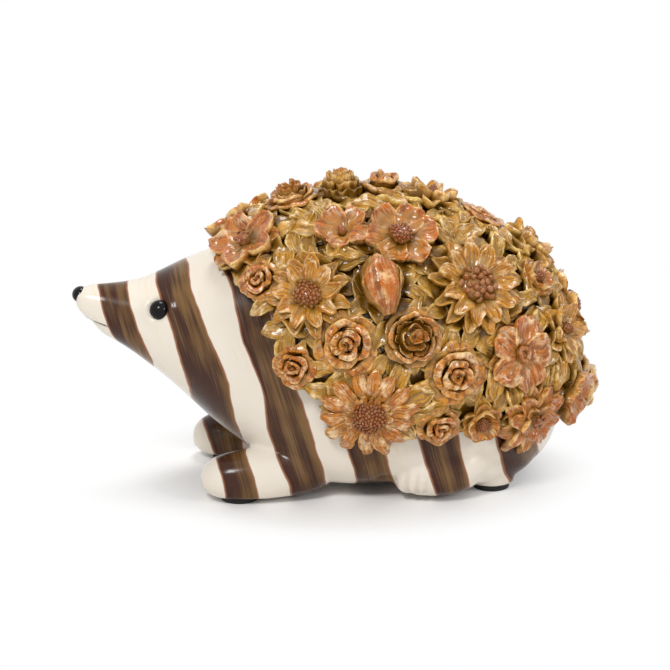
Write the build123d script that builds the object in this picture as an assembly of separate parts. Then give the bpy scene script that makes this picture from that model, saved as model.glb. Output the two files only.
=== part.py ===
"""Hedgehog figurine: a hollow painted casting that carries a mantle of moulded flowers and leaves.

The animal looks towards -X, its left side is -Y, and it stands on four pads at Z = 0.
"""
import os
from math import atan2, cos, degrees, radians, sin, sqrt, tan

from build123d import *

# Body casting
body_length = 210.0
body_height = 118.0
body_width = 99.0
belly_clearance = 3.5
body_wall = 5.0
nose_face_x = -110.0

# Paws and hind feet
front_paw_length = 58.0
front_paw_width = 25.0
front_paw_height = 22.0
front_paw_track = 60.0
hind_foot_length = 46.0
hind_foot_width = 21.0
hind_foot_height = 24.0
hind_foot_track = 77.0
rear_boss_radius = 10.0
rear_boss_rise = 14.0

# Pads under the animal
pad_radius = 8.0
pad_thickness = 3.2
pad_recess = 0.7
pad_edge = 0.6
rear_pad_track = 50.0

# Nose, eyes and mouth
nose_radius = 4.3
nose_length = 4.8
nose_peg_radius = 1.5
nose_peg_length = 6.0
eye_radius = 4.2
eye_bulge = 2.6
eye_seat = 1.2
eye_shank_radius = 1.2
eye_shank_length = 3.6
mouth_slit = 0.9
mouth_depth = 11.0

# Vent in the belly and its plug
vent_radius = 1.6
plug_head_radius = 3.0
plug_head_thickness = 1.0

# Mantle that the flowers stand on
mantle_thickness = 4.0
mantle_tilt = 10.7

# Flowers and leaves
calyx_radius = 2.8
bond_gap = 0.05
petal_thickness = 1.3
petal_lift = 3.6
sunflower_radius = 21.0
daisy_radius = 20.5
aster_radius = 17.0
primrose_radius = 16.0
cosmos_radius = 15.0
lily_radius = 15.0
star_radius = 13.0
rose_radius = 12.5
peony_radius = 11.0
rosebud_radius = 8.5
mum_radius = 8.8
button_radius = 8.0
tulip_length = 22.0
tulip_radius = 6.5
tulip_lift = 9.0
leaf_length = 14.0
leaf_width = 7.5
leaf_thickness = 1.0
leaf_lift = 0.9
leaf_fold = 1.2
leaf_foot_radius = 1.2

# Fits
pad_clearance = 0.1
peg_clearance = 0.1
leaf_clearance = 0.4
overrun = 1.0

# Body stations from the nose to the rear: along, top, widest height, bottom, half width
BODY_SHARES = (
    (0.000, 0.721, 0.687, 0.653, 0.081),
    (0.012, 0.730, 0.657, 0.585, 0.127),
    (0.057, 0.736, 0.627, 0.528, 0.226),
    (0.124, 0.752, 0.597, 0.445, 0.349),
    (0.205, 0.813, 0.566, 0.319, 0.525),
    (0.257, 0.847, 0.534, 0.229, 0.646),
    (0.333, 0.897, 0.496, 0.123, 0.778),
    (0.429, 0.966, 0.462, 0.034, 0.919),
    (0.524, 1.000, 0.445, 0.000, 0.990),
    (0.619, 0.998, 0.436, 0.000, 1.000),
    (0.714, 0.966, 0.428, 0.000, 0.980),
    (0.810, 0.899, 0.411, 0.000, 0.889),
    (0.886, 0.813, 0.377, 0.003, 0.737),
    (0.943, 0.703, 0.335, 0.034, 0.545),
    (0.979, 0.593, 0.318, 0.093, 0.347),
    (1.000, 0.504, 0.326, 0.191, 0.162),
)
# How full the lower flank is at each station: 2 is an ellipse, more is boxier
FLANK_FULLNESS = (2.0, 2.0, 2.0, 2.1, 2.2, 2.3, 2.6, 3.4, 4.0, 4.0, 4.0, 3.8, 3.4, 3.0, 2.6, 2.2)
LIMB_FULLNESS = 2.3
# First and last body station that the hollow reaches
HOLLOW_STATIONS = (4, 14)

# Limb stations: along, drawn inwards, top, widest height, bottom, half width
PAW_SHARES = (
    (0.00, 0.00, 0.55, 0.42, 0.27, 0.24),
    (0.07, 0.00, 0.80, 0.44, 0.13, 0.66),
    (0.22, 0.00, 0.95, 0.46, -0.05, 0.92),
    (0.45, 0.00, 1.05, 0.48, -0.05, 1.00),
    (0.72, 0.00, 1.20, 0.60, 0.08, 0.98),
    (1.00, 0.12, 1.50, 1.00, 0.50, 0.70),
)
FOOT_SHARES = (
    (0.00, 0.00, 0.45, 0.34, 0.24, 0.25),
    (0.08, 0.00, 0.66, 0.38, 0.15, 0.68),
    (0.25, 0.00, 0.82, 0.42, 0.10, 0.95),
    (0.55, 0.04, 0.95, 0.46, 0.10, 1.00),
    (0.80, 0.18, 1.05, 0.62, 0.26, 0.86),
    (1.00, 0.50, 1.10, 0.80, 0.52, 0.50),
)

# Places along the body, as shares of its length
MANTLE_PLACE_SHARE = 0.614
FRONT_PAW_SHARE = 0.231
FRONT_PAD_SHARE = 0.310
HIND_FOOT_SHARE = 0.629
REAR_PAD_SHARE = 0.840
VENT_SHARE = 0.600
EYE_SHARE = 0.152

# The ellipsoid under the mantle, as shares of the body's length, width and height
MANTLE_LENGTH_SHARE = 0.3938
MANTLE_WIDTH_SHARE = 0.5354
MANTLE_HEIGHT_SHARE = 0.5042
MANTLE_CENTRE_SHARE = 0.4907

# Skirt line of the mantle from the brow to the rear: along and height, shares of the body
SKIRT_SHARES = (
    (0.300, 1.089),
    (0.312, 0.852),
    (0.367, 0.725),
    (0.398, 0.597),
    (0.421, 0.496),
    (0.483, 0.419),
    (0.510, 0.343),
    (0.564, 0.301),
    (0.705, 0.284),
    (0.833, 0.267),
    (0.962, 0.275),
    (1.019, 0.301),
    (1.100, 0.301),
)

# Eye on the head: its bearing above the level line, in degrees, and its lean to the front
EYE_RISE = 24.0
EYE_LEAN = 26.0
MOUTH_SLOPE = 14.0
MOUTH_HEIGHT_SHARE = 0.617

# Petal rings of each kind: petals, valley and tip (shares of the radius), the share of its room
# that a petal fills, rise (share of the radius), pointed; then the heart's radius and height
BLOOM_SHARES = {
    "sunflower": (((17, 0.60, 1.00, 0.86, -0.07, True), (17, 0.52, 0.84, 0.86, 0.02, True)), 0.40, 0.16),
    "daisy": (((13, 0.45, 1.00, 0.86, -0.08, False), (13, 0.40, 0.78, 0.86, 0.02, False)), 0.27, 0.18),
    "aster": (((8, 0.36, 1.00, 0.88, -0.06, True), (8, 0.30, 0.70, 0.88, 0.12, True)), 0.18, 0.30),
    "primrose": (((5, 0.42, 1.00, 0.92, 0.00, False),), 0.24, 0.20),
    "cosmos": (((6, 0.38, 1.00, 0.92, 0.06, False),), 0.26, 0.24),
    "lily": (((5, 0.30, 1.00, 0.84, 0.18, True), (5, 0.24, 0.66, 0.84, 0.22, True)), 0.15, 0.34),
    "star": (((6, 0.30, 1.00, 0.84, 0.10, True), (6, 0.24, 0.70, 0.84, 0.34, True)), 0.16, 0.44),
    "rose": (((5, 0.60, 1.00, 0.94, 0.06, False), (5, 0.46, 0.78, 0.94, 0.34, False)), 0.42, 0.62),
    "peony": (((7, 0.62, 1.00, 0.92, 0.10, False), (7, 0.50, 0.78, 0.92, 0.36, False)), 0.42, 0.56),
    "rosebud": (((5, 0.60, 1.00, 0.94, 0.16, False),), 0.56, 0.70),
    "mum": (((11, 0.66, 1.00, 0.90, 0.04, False), (9, 0.52, 0.76, 0.90, 0.38, False)), 0.44, 0.66),
    "button": (((6, 0.58, 1.00, 0.92, 0.14, False),), 0.46, 0.46),
}
BLOOM_RADIUS = {
    "sunflower": sunflower_radius,
    "daisy": daisy_radius,
    "aster": aster_radius,
    "primrose": primrose_radius,
    "cosmos": cosmos_radius,
    "lily": lily_radius,
    "star": star_radius,
    "rose": rose_radius,
    "peony": peony_radius,
    "rosebud": rosebud_radius,
    "mum": mum_radius,
    "button": button_radius,
}
CENTRE_TOP_SHARE = 0.55
SHOULDER_SHARE = 0.42

# Flowers that stand on both sides: name, kind, place along the mantle, degrees from the ridge, turn
SIDE_BLOOM_SHARES = (
    ("lily_front", "lily", -0.76, 27.0, 10.0),
    ("rosebud_brow", "rosebud", -0.68, 56.0, 40.0),
    ("aster_shoulder", "aster", -0.46, 63.0, 0.0),
    ("tulip_shoulder", "tulip", -0.13, 57.0, 100.0),
    ("rose_shoulder", "rose", -0.255, 80.0, 20.0),
    ("rosebud_cheek", "rosebud", -0.47, 93.0, 5.0),
    ("peony_flank", "peony", 0.045, 74.0, 0.0),
    ("daisy_flank", "daisy", -0.085, 106.0, 8.0),
    ("rose_flank", "rose", 0.285, 85.0, 55.0),
    ("rosebud_flank", "rosebud", 0.265, 107.0, 30.0),
    ("button_flank", "button", 0.475, 106.0, 0.0),
    ("cosmos_back", "cosmos", -0.055, 34.0, 15.0),
    ("sunflower_back", "sunflower", 0.33, 49.0, 0.0),
    ("primrose_haunch", "primrose", 0.605, 73.0, 18.0),
    ("lily_haunch", "lily", 0.75, 108.0, 36.0),
    ("button_nape", "button", -0.33, 33.0, 24.0),
    ("button_rump", "button", 0.66, 30.0, 12.0),
    ("star_rump", "star", 0.83, 50.0, 25.0),
    ("button_tail", "button", 0.945, 105.0, 10.0),
)
# Flowers along the ridge of the back
RIDGE_BLOOM_SHARES = (
    ("peony_crown", "peony", -0.55, 0.0, 20.0),
    ("mum_nape", "mum", -0.32, 0.0, 0.0),
    ("rosebud_back", "rosebud", -0.12, 0.0, 15.0),
    ("star_loin", "star", 0.12, 0.0, 12.0),
    ("rose_loin", "rose", 0.385, 0.0, 35.0),
    ("star_tail", "star", 0.64, 0.0, 30.0),
    ("cosmos_tail", "cosmos", 0.90, 0.0, 0.0),
    ("rose_tail", "rose", 0.995, 180.0, 0.0),
)

# Leaf lattice: how many places are tried, and the turn between one place and the next
LEAF_PLACES = 700
LEAF_TURN = 137.508
LEAF_TURNS = (0.0, 55.0, -55.0, 90.0)
LEAF_ENDS_SHARES = (-0.93, 0.99)
RIDGE_ZONE = 24.0
# Above this share of sideways lean a seat is squared to the mantle's length
STEEP_SHARE = 0.9

body_half_width = body_width / 2
mantle_centre_x = nose_face_x + body_length * MANTLE_PLACE_SHARE
mantle_centre_z = belly_clearance + body_height * MANTLE_CENTRE_SHARE
mantle_half_length = body_length * MANTLE_LENGTH_SHARE + mantle_thickness
mantle_half_width = body_width * MANTLE_WIDTH_SHARE + mantle_thickness
mantle_half_height = body_height * MANTLE_HEIGHT_SHARE + mantle_thickness
pad_seat_z = pad_thickness - pad_recess
along_axis = Vector(cos(radians(mantle_tilt)), 0, -sin(radians(mantle_tilt)))
ridge_axis = Vector(sin(radians(mantle_tilt)), 0, cos(radians(mantle_tilt)))
left_axis = Vector(0, -1, 0)
mantle_centre = Vector(mantle_centre_x, 0, mantle_centre_z)


def body_x(share):
    """Place along X at a share of the body's length from the nose."""
    return nose_face_x + body_length * share


def body_z(share):
    """Height at a share of the body's height above its belly."""
    return belly_clearance + body_height * share


def section(x, y, top, middle, bottom, half_width, fullness):
    """Closed cross-section at x: a half ellipse above its widest height and a fuller curve below."""
    points = []
    for step in range(16):
        angle = radians(step * 22.5)
        if step <= 8:
            points.append((x, y + half_width * cos(angle), middle + (top - middle) * sin(angle)))
        else:
            across = abs(cos(angle)) ** (2 / fullness)
            down = abs(sin(angle)) ** (2 / fullness)
            side = 1 if cos(angle) > 0 else -1
            points.append((x, y + side * half_width * across, middle - (middle - bottom) * down))
    return Wire([Spline(*points, periodic=True)])


def body_form(stations, wall):
    """Smooth form through the body stations, drawn in by the wall all round."""
    wires = []
    for (along, top, middle, bottom, width), fullness in stations:
        wires.append(
            section(
                body_x(along),
                0,
                body_z(top) - wall,
                body_z(middle),
                body_z(bottom) + wall,
                body_half_width * width - wall,
                fullness,
            )
        )
    return Solid.make_loft(wires)


def limb_form(shares, start_x, track, length, width, height):
    """Left limb lying along the floor with its toe at start_x, cut flat at the pad seat."""
    wires = []
    for along, inward, top, middle, bottom, half in shares:
        wires.append(
            section(
                start_x + length * along,
                width * inward - track / 2,
                height * top,
                height * middle,
                height * bottom,
                width / 2 * half,
                LIMB_FULLNESS,
            )
        )
    floor = Pos(start_x + length / 2, -track / 2, 0) * Box(
        length * 2, width * 2, pad_seat_z * 2
    )
    return Solid.make_loft(wires) - floor


def both_sides(left):
    """A left-hand shape together with its mirror image."""
    return [left, mirror(left, about=Plane.XZ)]


def pad_places():
    """Names and centres of the four pads on the floor."""
    front_x = body_x(FRONT_PAD_SHARE)
    rear_x = body_x(REAR_PAD_SHARE)
    return (
        ("left_front_pad", front_x, -front_paw_track / 2),
        ("right_front_pad", front_x, front_paw_track / 2),
        ("left_rear_pad", rear_x, -rear_pad_track / 2),
        ("right_rear_pad", rear_x, rear_pad_track / 2),
    )


def rising(radius, height):
    """Upright cylinder that stands on its origin."""
    return Cylinder(radius, height, align=(Align.CENTER, Align.CENTER, Align.MIN))


def eye_plane(outer):
    """Plane on the head's left side where the eye sits, looking outwards."""
    aim = Vector(
        -sin(radians(EYE_LEAN)) * cos(radians(EYE_RISE)),
        -cos(radians(EYE_LEAN)) * cos(radians(EYE_RISE)),
        sin(radians(EYE_RISE)),
    )
    heart = Vector(body_x(EYE_SHARE), 0, body_z(BODY_SHARES[3][2]))
    ray = Edge.make_line(heart, heart + Vector(0, aim.Y, aim.Z) * body_width)
    inside = ray & outer
    reach = (inside.edges()[0]).length
    spot = heart + Vector(0, aim.Y, aim.Z).normalized() * reach
    return Plane(origin=spot - aim * eye_seat, z_dir=aim)


def nose_plane():
    """Plane on the flat end of the snout, looking forwards."""
    height = (body_z(BODY_SHARES[0][1]) + body_z(BODY_SHARES[0][3])) / 2
    return Plane(origin=(nose_face_x, 0, height), z_dir=(-1, 0, 0))


def mantle_solid():
    """Tilted ellipsoid whose skin is the outside of the mantle."""
    ball = scale(Sphere(1), by=(mantle_half_length, mantle_half_width, mantle_half_height))
    return Pos(mantle_centre) * Rot(0, mantle_tilt, 0) * ball


def mantle_spot(along, angle):
    """Point on the mantle and the outward direction there."""
    ring = sqrt(1 - along * along)
    left = ring * sin(radians(angle))
    up = ring * cos(radians(angle))
    spot = (
        mantle_centre
        + along_axis * (mantle_half_length * along)
        + left_axis * (mantle_half_width * left)
        + ridge_axis * (mantle_half_height * up)
    )
    outward = (
        along_axis * (along / mantle_half_length)
        + left_axis * (left / mantle_half_width)
        + ridge_axis * (up / mantle_half_height)
    )
    return spot, outward.normalized()


def seat(along, angle, turn):
    """Plane on the mantle for a flower or leaf, turned about its own axis."""
    spot, outward = mantle_spot(along, angle)
    level = outward.cross(left_axis if abs(outward.Y) < STEEP_SHARE else along_axis).normalized()
    x_dir = level * cos(radians(turn)) + outward.cross(level) * sin(radians(turn))
    return Plane(origin=spot, x_dir=x_dir, z_dir=outward)


def round_petal(middle, half_pitch, valley, tip, fill):
    """Edges of a petal with a round end."""
    spread = half_pitch * fill
    shoulder = tip / (1 + tan(radians(spread)))
    ends = [polar(shoulder / cos(radians(spread)), middle + side * spread) for side in (-1, 1)]
    return [
        Line(polar(valley, middle - half_pitch), ends[0]),
        ThreePointArc(ends[0], polar(tip, middle), ends[1]),
        Line(ends[1], polar(valley, middle + half_pitch)),
    ]


def pointed_petal(middle, half_pitch, valley, tip, fill):
    """Edges of a petal that widens to a shoulder and runs to a point."""
    waist = valley + (tip - valley) * SHOULDER_SHARE
    ends = [polar(waist, middle + side * half_pitch * fill) for side in (-1, 1)]
    return [
        Line(polar(valley, middle - half_pitch), ends[0]),
        Line(ends[0], polar(tip, middle)),
        Line(polar(tip, middle), ends[1]),
        Line(ends[1], polar(valley, middle + half_pitch)),
    ]


def polar(radius, bearing):
    """Point in the flat at a radius and a bearing in degrees."""
    return (radius * cos(radians(bearing)), radius * sin(radians(bearing)))


def petal_ring(radius, shares, turned):
    """Ring of petals cut from a dished disc whose middle lies at the petal lift."""
    count, valley, tip, fill, rise, pointed = shares
    half_pitch = 180 / count
    draw = pointed_petal if pointed else round_petal
    edges = []
    for step in range(count):
        middle = (step * 2 + (1 if turned else 0)) * half_pitch
        edges += draw(middle, half_pitch, radius * valley, radius * tip, fill)
    outline = Face(Wire(edges))
    reach = radius * tip + overrun
    climb = radius * rise * reach / (radius * tip)
    dish = revolve(
        Plane.XZ
        * make_face(
            Polyline(
                (0, petal_lift),
                (reach, petal_lift + climb),
                (reach, petal_lift + climb + petal_thickness),
                (0, petal_lift + petal_thickness),
                close=True,
            )
        ),
        Axis.Z,
    )
    column = Pos(0, 0, -radius) * extrude(outline, radius * 3, dir=(0, 0, 1))
    return column & dish


def calyx():
    """Short foot by which a flower or leaf is bonded to the mantle."""
    return Pos(0, 0, bond_gap) * rising(calyx_radius, petal_lift + petal_thickness - bond_gap)


def bloom(kind):
    """Flower of one kind, standing on its origin."""
    radius = BLOOM_RADIUS[kind]
    rings, heart, height = BLOOM_SHARES[kind]
    flower = calyx()
    for index, shares in enumerate(rings):
        flower = flower + petal_ring(radius, shares, index % 2 == 1)
    heart_top = petal_lift + petal_thickness + radius * height
    middle = Pos(0, 0, petal_lift) * Cone(
        radius * heart,
        radius * heart * CENTRE_TOP_SHARE,
        heart_top - petal_lift,
        align=(Align.CENTER, Align.CENTER, Align.MIN),
    )
    return (flower + middle).solid()


def tulip():
    """Closed bud lying along the mantle."""
    half = tulip_length / 2
    blunt = petal_thickness / 2
    profile = make_face(
        [
            ThreePointArc((-half, blunt), (0, tulip_radius), (half, blunt)),
            Polyline((half, blunt), (half, 0), (-half, 0), (-half, blunt)),
        ]
    )
    bud = revolve(Plane.XZ * profile, Axis.X)
    return (calyx() + Pos(0, 0, tulip_lift) * bud).solid()


def leaf():
    """Folded leaf that runs along X, bonded under its middle."""
    half = leaf_length / 2
    edge = leaf_width / 2
    outline = Face(
        Wire(
            [
                ThreePointArc((-half, 0), (0, edge), (half, 0)),
                ThreePointArc((half, 0), (0, -edge), (-half, 0)),
            ]
        )
    )
    fold = Plane.YZ * make_face(
        Polyline(
            (0, leaf_lift),
            (leaf_width, leaf_lift + leaf_fold * 2),
            (leaf_width, leaf_lift + leaf_fold * 2 + leaf_thickness),
            (0, leaf_lift + leaf_thickness),
            (-leaf_width, leaf_lift + leaf_fold * 2 + leaf_thickness),
            (-leaf_width, leaf_lift + leaf_fold * 2),
            close=True,
        )
    )
    gutter = Pos(-leaf_length, 0, 0) * extrude(fold, leaf_length * 2, dir=(1, 0, 0))
    blade = extrude(outline, leaf_length, dir=(0, 0, 1)) & gutter
    foot = Pos(0, 0, bond_gap) * rising(leaf_foot_radius, leaf_lift + leaf_thickness / 2)
    return (blade + foot).solid()


def skirt_height(x):
    """Height of the mantle's skirt line at x, for leaves to stay above."""
    points = [(body_x(along), body_z(height)) for along, height in SKIRT_SHARES]
    for (x0, z0), (x1, z1) in zip(points, points[1:]):
        if x0 <= x <= x1:
            return z0 + (z1 - z0) * (x - x0) / (x1 - x0)
    return body_z(SKIRT_SHARES[0][1])


def clear_of(strip, other, room):
    """Whether two short strips, each given by its two ends, are further apart than the room."""
    if (strip[0] - other[0]).length > leaf_length * 2 + room:
        return True
    return Edge.make_line(*strip).distance_to(Edge.make_line(*other)) > room


def leaf_planes(bloom_planes):
    """Places for the leaves between the flowers, each pointing away from its nearest flower."""
    planes = []
    strips = [(plane.origin, plane.origin + plane.z_dir * petal_lift) for plane in bloom_planes]
    rooms = [calyx_radius + leaf_width / 2 + leaf_clearance] * len(strips)
    first, last = LEAF_ENDS_SHARES
    for index in range(LEAF_PLACES):
        along = first + (last - first) * (index + 0.5) / LEAF_PLACES
        angle = index * LEAF_TURN
        base = seat(along, angle, 0)
        nearest = min(bloom_planes, key=lambda plane: (plane.origin - base.origin).length)
        away = base.to_local_coords(base.origin * 2 - nearest.origin)
        for turn in LEAF_TURNS:
            plane = seat(along, angle, degrees(atan2(away.Y, away.X)) + turn)
            ends = [plane.from_local_coords(Vector(side * leaf_length / 2, 0, 0)) for side in (-1, 1)]
            if min(end.Z - skirt_height(end.X) for end in ends) < leaf_width / 2:
                continue
            if all(clear_of(ends, other, room) for other, room in zip(strips, rooms)):
                planes.append(plane)
                strips.append(ends)
                rooms.append(leaf_width + leaf_clearance)
                break
    return planes


def save(name, shape):
    """Write one piece as its own STEP file."""
    export_step(shape, os.path.join("parts", name + ".step"))


def main():
    """Build every piece and write it out."""
    os.makedirs("parts", exist_ok=True)
    stations = list(zip(BODY_SHARES, FLANK_FULLNESS))
    outer = body_form(stations, 0)
    hollow = body_form(stations[HOLLOW_STATIONS[0]:HOLLOW_STATIONS[1] + 1], body_wall)

    paw = limb_form(
        PAW_SHARES,
        body_x(FRONT_PAW_SHARE),
        front_paw_track,
        front_paw_length,
        front_paw_width,
        front_paw_height,
    )
    foot = limb_form(
        FOOT_SHARES,
        body_x(HIND_FOOT_SHARE),
        hind_foot_track,
        hind_foot_length,
        hind_foot_width,
        hind_foot_height,
    )
    boss = Pos(body_x(REAR_PAD_SHARE), -rear_pad_track / 2, pad_seat_z) * rising(
        rear_boss_radius, rear_boss_rise
    )
    body = Part() + outer
    for limb in (paw, foot, boss):
        for side in both_sides(limb):
            body = body + side
    body = body - hollow

    for name, x, y in pad_places():
        pad = rising(pad_radius, pad_thickness)
        pad = fillet(pad.edges().sort_by(Axis.Z)[0], pad_edge)
        recess = rising(pad_radius + pad_clearance, pad_thickness)
        body = body - Pos(x, y, 0) * recess
        save(name, Pos(x, y, 0) * pad)

    left_eye_plane = eye_plane(outer)
    shank = Pos(0, 0, -eye_shank_length) * rising(eye_shank_radius, eye_shank_length)
    dome_radius = (eye_radius**2 + eye_bulge**2) / (2 * eye_bulge)
    ball = Pos(0, 0, eye_bulge - dome_radius) * Sphere(dome_radius)
    dome = Pos(0, 0, eye_seat) * (ball & rising(eye_radius, eye_bulge))
    eye = rising(eye_radius, eye_seat) + dome + shank
    socket = rising(eye_radius + peg_clearance, body_wall)
    socket = socket + Pos(0, 0, -eye_shank_length - peg_clearance) * rising(
        eye_shank_radius + peg_clearance, body_wall
    )
    for name, piece, cut in zip(
        ("left_eye", "right_eye"),
        both_sides(left_eye_plane.location * eye),
        both_sides(left_eye_plane.location * socket),
    ):
        body = body - cut
        save(name, piece.solid())

    cap = scale(Sphere(1), by=(nose_radius, nose_radius, nose_length)) & rising(nose_radius, nose_length)
    nose = cap + Pos(0, 0, -nose_peg_length) * rising(nose_peg_radius, nose_peg_length)
    nose_hole = Pos(0, 0, -nose_peg_length - peg_clearance) * rising(
        nose_peg_radius + peg_clearance, nose_peg_length + overrun
    )
    body = body - nose_plane().location * nose_hole
    save("nose", (nose_plane().location * nose).solid())

    backwards = Vector(cos(radians(MOUTH_SLOPE)), 0, -sin(radians(MOUTH_SLOPE)))
    mouth_plane = Plane(
        origin=(nose_face_x, 0, body_z(MOUTH_HEIGHT_SHARE)), x_dir=backwards, z_dir=left_axis
    )
    slit = mouth_plane.location * Box(mouth_depth * 2, mouth_slit, body_width)
    body = body - slit

    vent_x = body_x(VENT_SHARE)
    body = body - Pos(vent_x, 0, 0) * rising(vent_radius + peg_clearance, belly_clearance + body_wall * 2)
    body = body - Pos(vent_x, 0, 0) * rising(plug_head_radius + peg_clearance, belly_clearance)
    plug = Pos(vent_x, 0, belly_clearance - plug_head_thickness) * rising(
        plug_head_radius, plug_head_thickness
    )
    plug = plug + Pos(vent_x, 0, belly_clearance) * rising(vent_radius, body_wall)
    save("vent_plug", plug.solid())

    skirt = [(body_x(along), body_z(height)) for along, height in SKIRT_SHARES]
    corners = skirt + [(skirt[-1][0], skirt[0][1])]
    curtain = extrude(Plane.XZ * make_face(Polyline(*corners, close=True)), body_width, both=True)
    mantle = (mantle_solid() & curtain) - outer

    prototypes = {kind: bloom(kind) for kind in BLOOM_SHARES}
    prototypes["tulip"] = tulip()
    planes = []
    for stem_name, kind, along, angle, turn in SIDE_BLOOM_SHARES:
        plane = seat(along, angle, turn)
        planes += [plane, seat(along, -angle, turn)]
        for side, piece in zip(("left", "right"), both_sides(plane.location * prototypes[kind])):
            save(side + "_" + stem_name, piece.solid())
    for name, kind, along, angle, turn in RIDGE_BLOOM_SHARES:
        plane = seat(along, angle, turn)
        planes.append(plane)
        save(name, plane.location * prototypes[kind])

    blade = leaf()
    groups = {"left_leaves": [], "right_leaves": [], "ridge_leaves": []}
    for plane in leaf_planes(planes):
        if abs(plane.origin.Y) < RIDGE_ZONE:
            groups["ridge_leaves"].append(plane)
        else:
            groups["left_leaves" if plane.origin.Y < 0 else "right_leaves"].append(plane)
    for name, spots in groups.items():
        save(name, Compound(children=[plane.location * blade for plane in spots]))

    save("flower_mantle", mantle.solids().sort_by(SortBy.VOLUME)[-1])
    save("body_shell", body.solids().sort_by(SortBy.VOLUME)[-1])


if __name__ == "__main__":
    main()
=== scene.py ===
"""Hedgehog figurine dressed for rendering: glazed body, amber flowers and leaves, eyes, nose and pads."""
import logging
import math
import random
from dataclasses import dataclass, field
from enum import Enum
from typing import Sequence

import bmesh
import bpy
import numpy as np
from mathutils import Matrix, Vector

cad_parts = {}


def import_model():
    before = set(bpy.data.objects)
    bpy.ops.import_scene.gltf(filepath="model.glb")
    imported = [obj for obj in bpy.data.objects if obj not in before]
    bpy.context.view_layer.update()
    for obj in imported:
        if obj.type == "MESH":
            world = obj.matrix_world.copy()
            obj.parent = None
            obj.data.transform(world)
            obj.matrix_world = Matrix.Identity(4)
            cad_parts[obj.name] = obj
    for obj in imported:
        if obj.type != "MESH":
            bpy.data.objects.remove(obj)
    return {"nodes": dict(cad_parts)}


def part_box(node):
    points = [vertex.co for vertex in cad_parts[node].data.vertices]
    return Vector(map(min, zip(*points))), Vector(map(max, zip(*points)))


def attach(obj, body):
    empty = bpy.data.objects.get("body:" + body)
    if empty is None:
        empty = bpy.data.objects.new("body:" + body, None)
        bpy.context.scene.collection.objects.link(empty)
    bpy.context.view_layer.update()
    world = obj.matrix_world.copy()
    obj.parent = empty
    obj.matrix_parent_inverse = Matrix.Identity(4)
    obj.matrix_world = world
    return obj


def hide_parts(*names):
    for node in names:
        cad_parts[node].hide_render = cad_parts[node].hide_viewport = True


LOG = logging.getLogger("hedgehog")
MM = 0.001
Triple = tuple[float, float, float]
Colour = tuple[float, float, float, float]


def tone(red: int, green: int, blue: int) -> Colour:
    """Turn a screen colour into the linear colour that shaders use.

    Args:
        red: Red from 0 to 255.
        green: Green from 0 to 255.
        blue: Blue from 0 to 255.

    Returns:
        Linear red, green, blue and an alpha of one.
    """
    out = []
    for level in (red, green, blue):
        share = level / 255
        out.append(share / 12.92 if share <= 0.04045 else ((share + 0.055) / 1.055) ** 2.4)
    return (out[0], out[1], out[2], 1.0)


class Wire:
    """A shader socket that can be used in sums and products."""

    def __init__(self, shader: "Shader", socket: bpy.types.NodeSocket) -> None:
        """Hold a socket.

        Args:
            shader: The shader the socket belongs to.
            socket: The output socket.
        """
        self.shader = shader
        self.socket = socket

    def _with(self, operation: str, *others: "Wire | float", clamp: bool = False) -> "Wire":
        """Join this socket and others in one math node.

        Args:
            operation: Name of the math operation.
            others: Further operands.
            clamp: Whether the result is kept between 0 and 1.

        Returns:
            The result's socket.
        """
        inputs = {index: value for index, value in enumerate((self, *others))}
        return self.shader.node("ShaderNodeMath", {"operation": operation, "use_clamp": clamp}, inputs)

    def __add__(self, other: "Wire | float") -> "Wire":
        """Sum."""
        return self._with("ADD", other)

    __radd__ = __add__

    def __sub__(self, other: "Wire | float") -> "Wire":
        """Difference."""
        return self._with("SUBTRACT", other)

    def __rsub__(self, other: float) -> "Wire":
        """Reflected difference."""
        return (self * -1.0) + other

    def __mul__(self, other: "Wire | float") -> "Wire":
        """Product."""
        return self._with("MULTIPLY", other)

    __rmul__ = __mul__

    def __truediv__(self, other: "Wire | float") -> "Wire":
        """Quotient."""
        return self._with("DIVIDE", other)

    def __rtruediv__(self, other: float) -> "Wire":
        """Reflected quotient."""
        return self._with("POWER", -1.0) * other

    def __pow__(self, other: float) -> "Wire":
        """Power."""
        return self._with("POWER", other)

    def __abs__(self) -> "Wire":
        """Size without sign."""
        return self._with("ABSOLUTE")

    def twin(self, output: str | int) -> "Wire":
        """Take another output of the same node.

        Args:
            output: The output's name or index.

        Returns:
            That output.
        """
        return Wire(self.shader, self.socket.node.outputs[output])

    def fraction(self) -> "Wire":
        """Part of the value after the whole number."""
        return self._with("FRACT")

    def logarithm(self) -> "Wire":
        """Natural logarithm."""
        return self._with("LOGARITHM", math.e)

    def step(self, low: float, high: float) -> "Wire":
        """Ease from 0 at low to 1 at high.

        Args:
            low: Where the result leaves 0.
            high: Where the result reaches 1.

        Returns:
            The eased socket.
        """
        return self.shader.node(
            "ShaderNodeMapRange",
            {"interpolation_type": "SMOOTHSTEP"},
            {"Value": self, "From Min": low, "From Max": high, "To Min": 0.0, "To Max": 1.0},
        )


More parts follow.
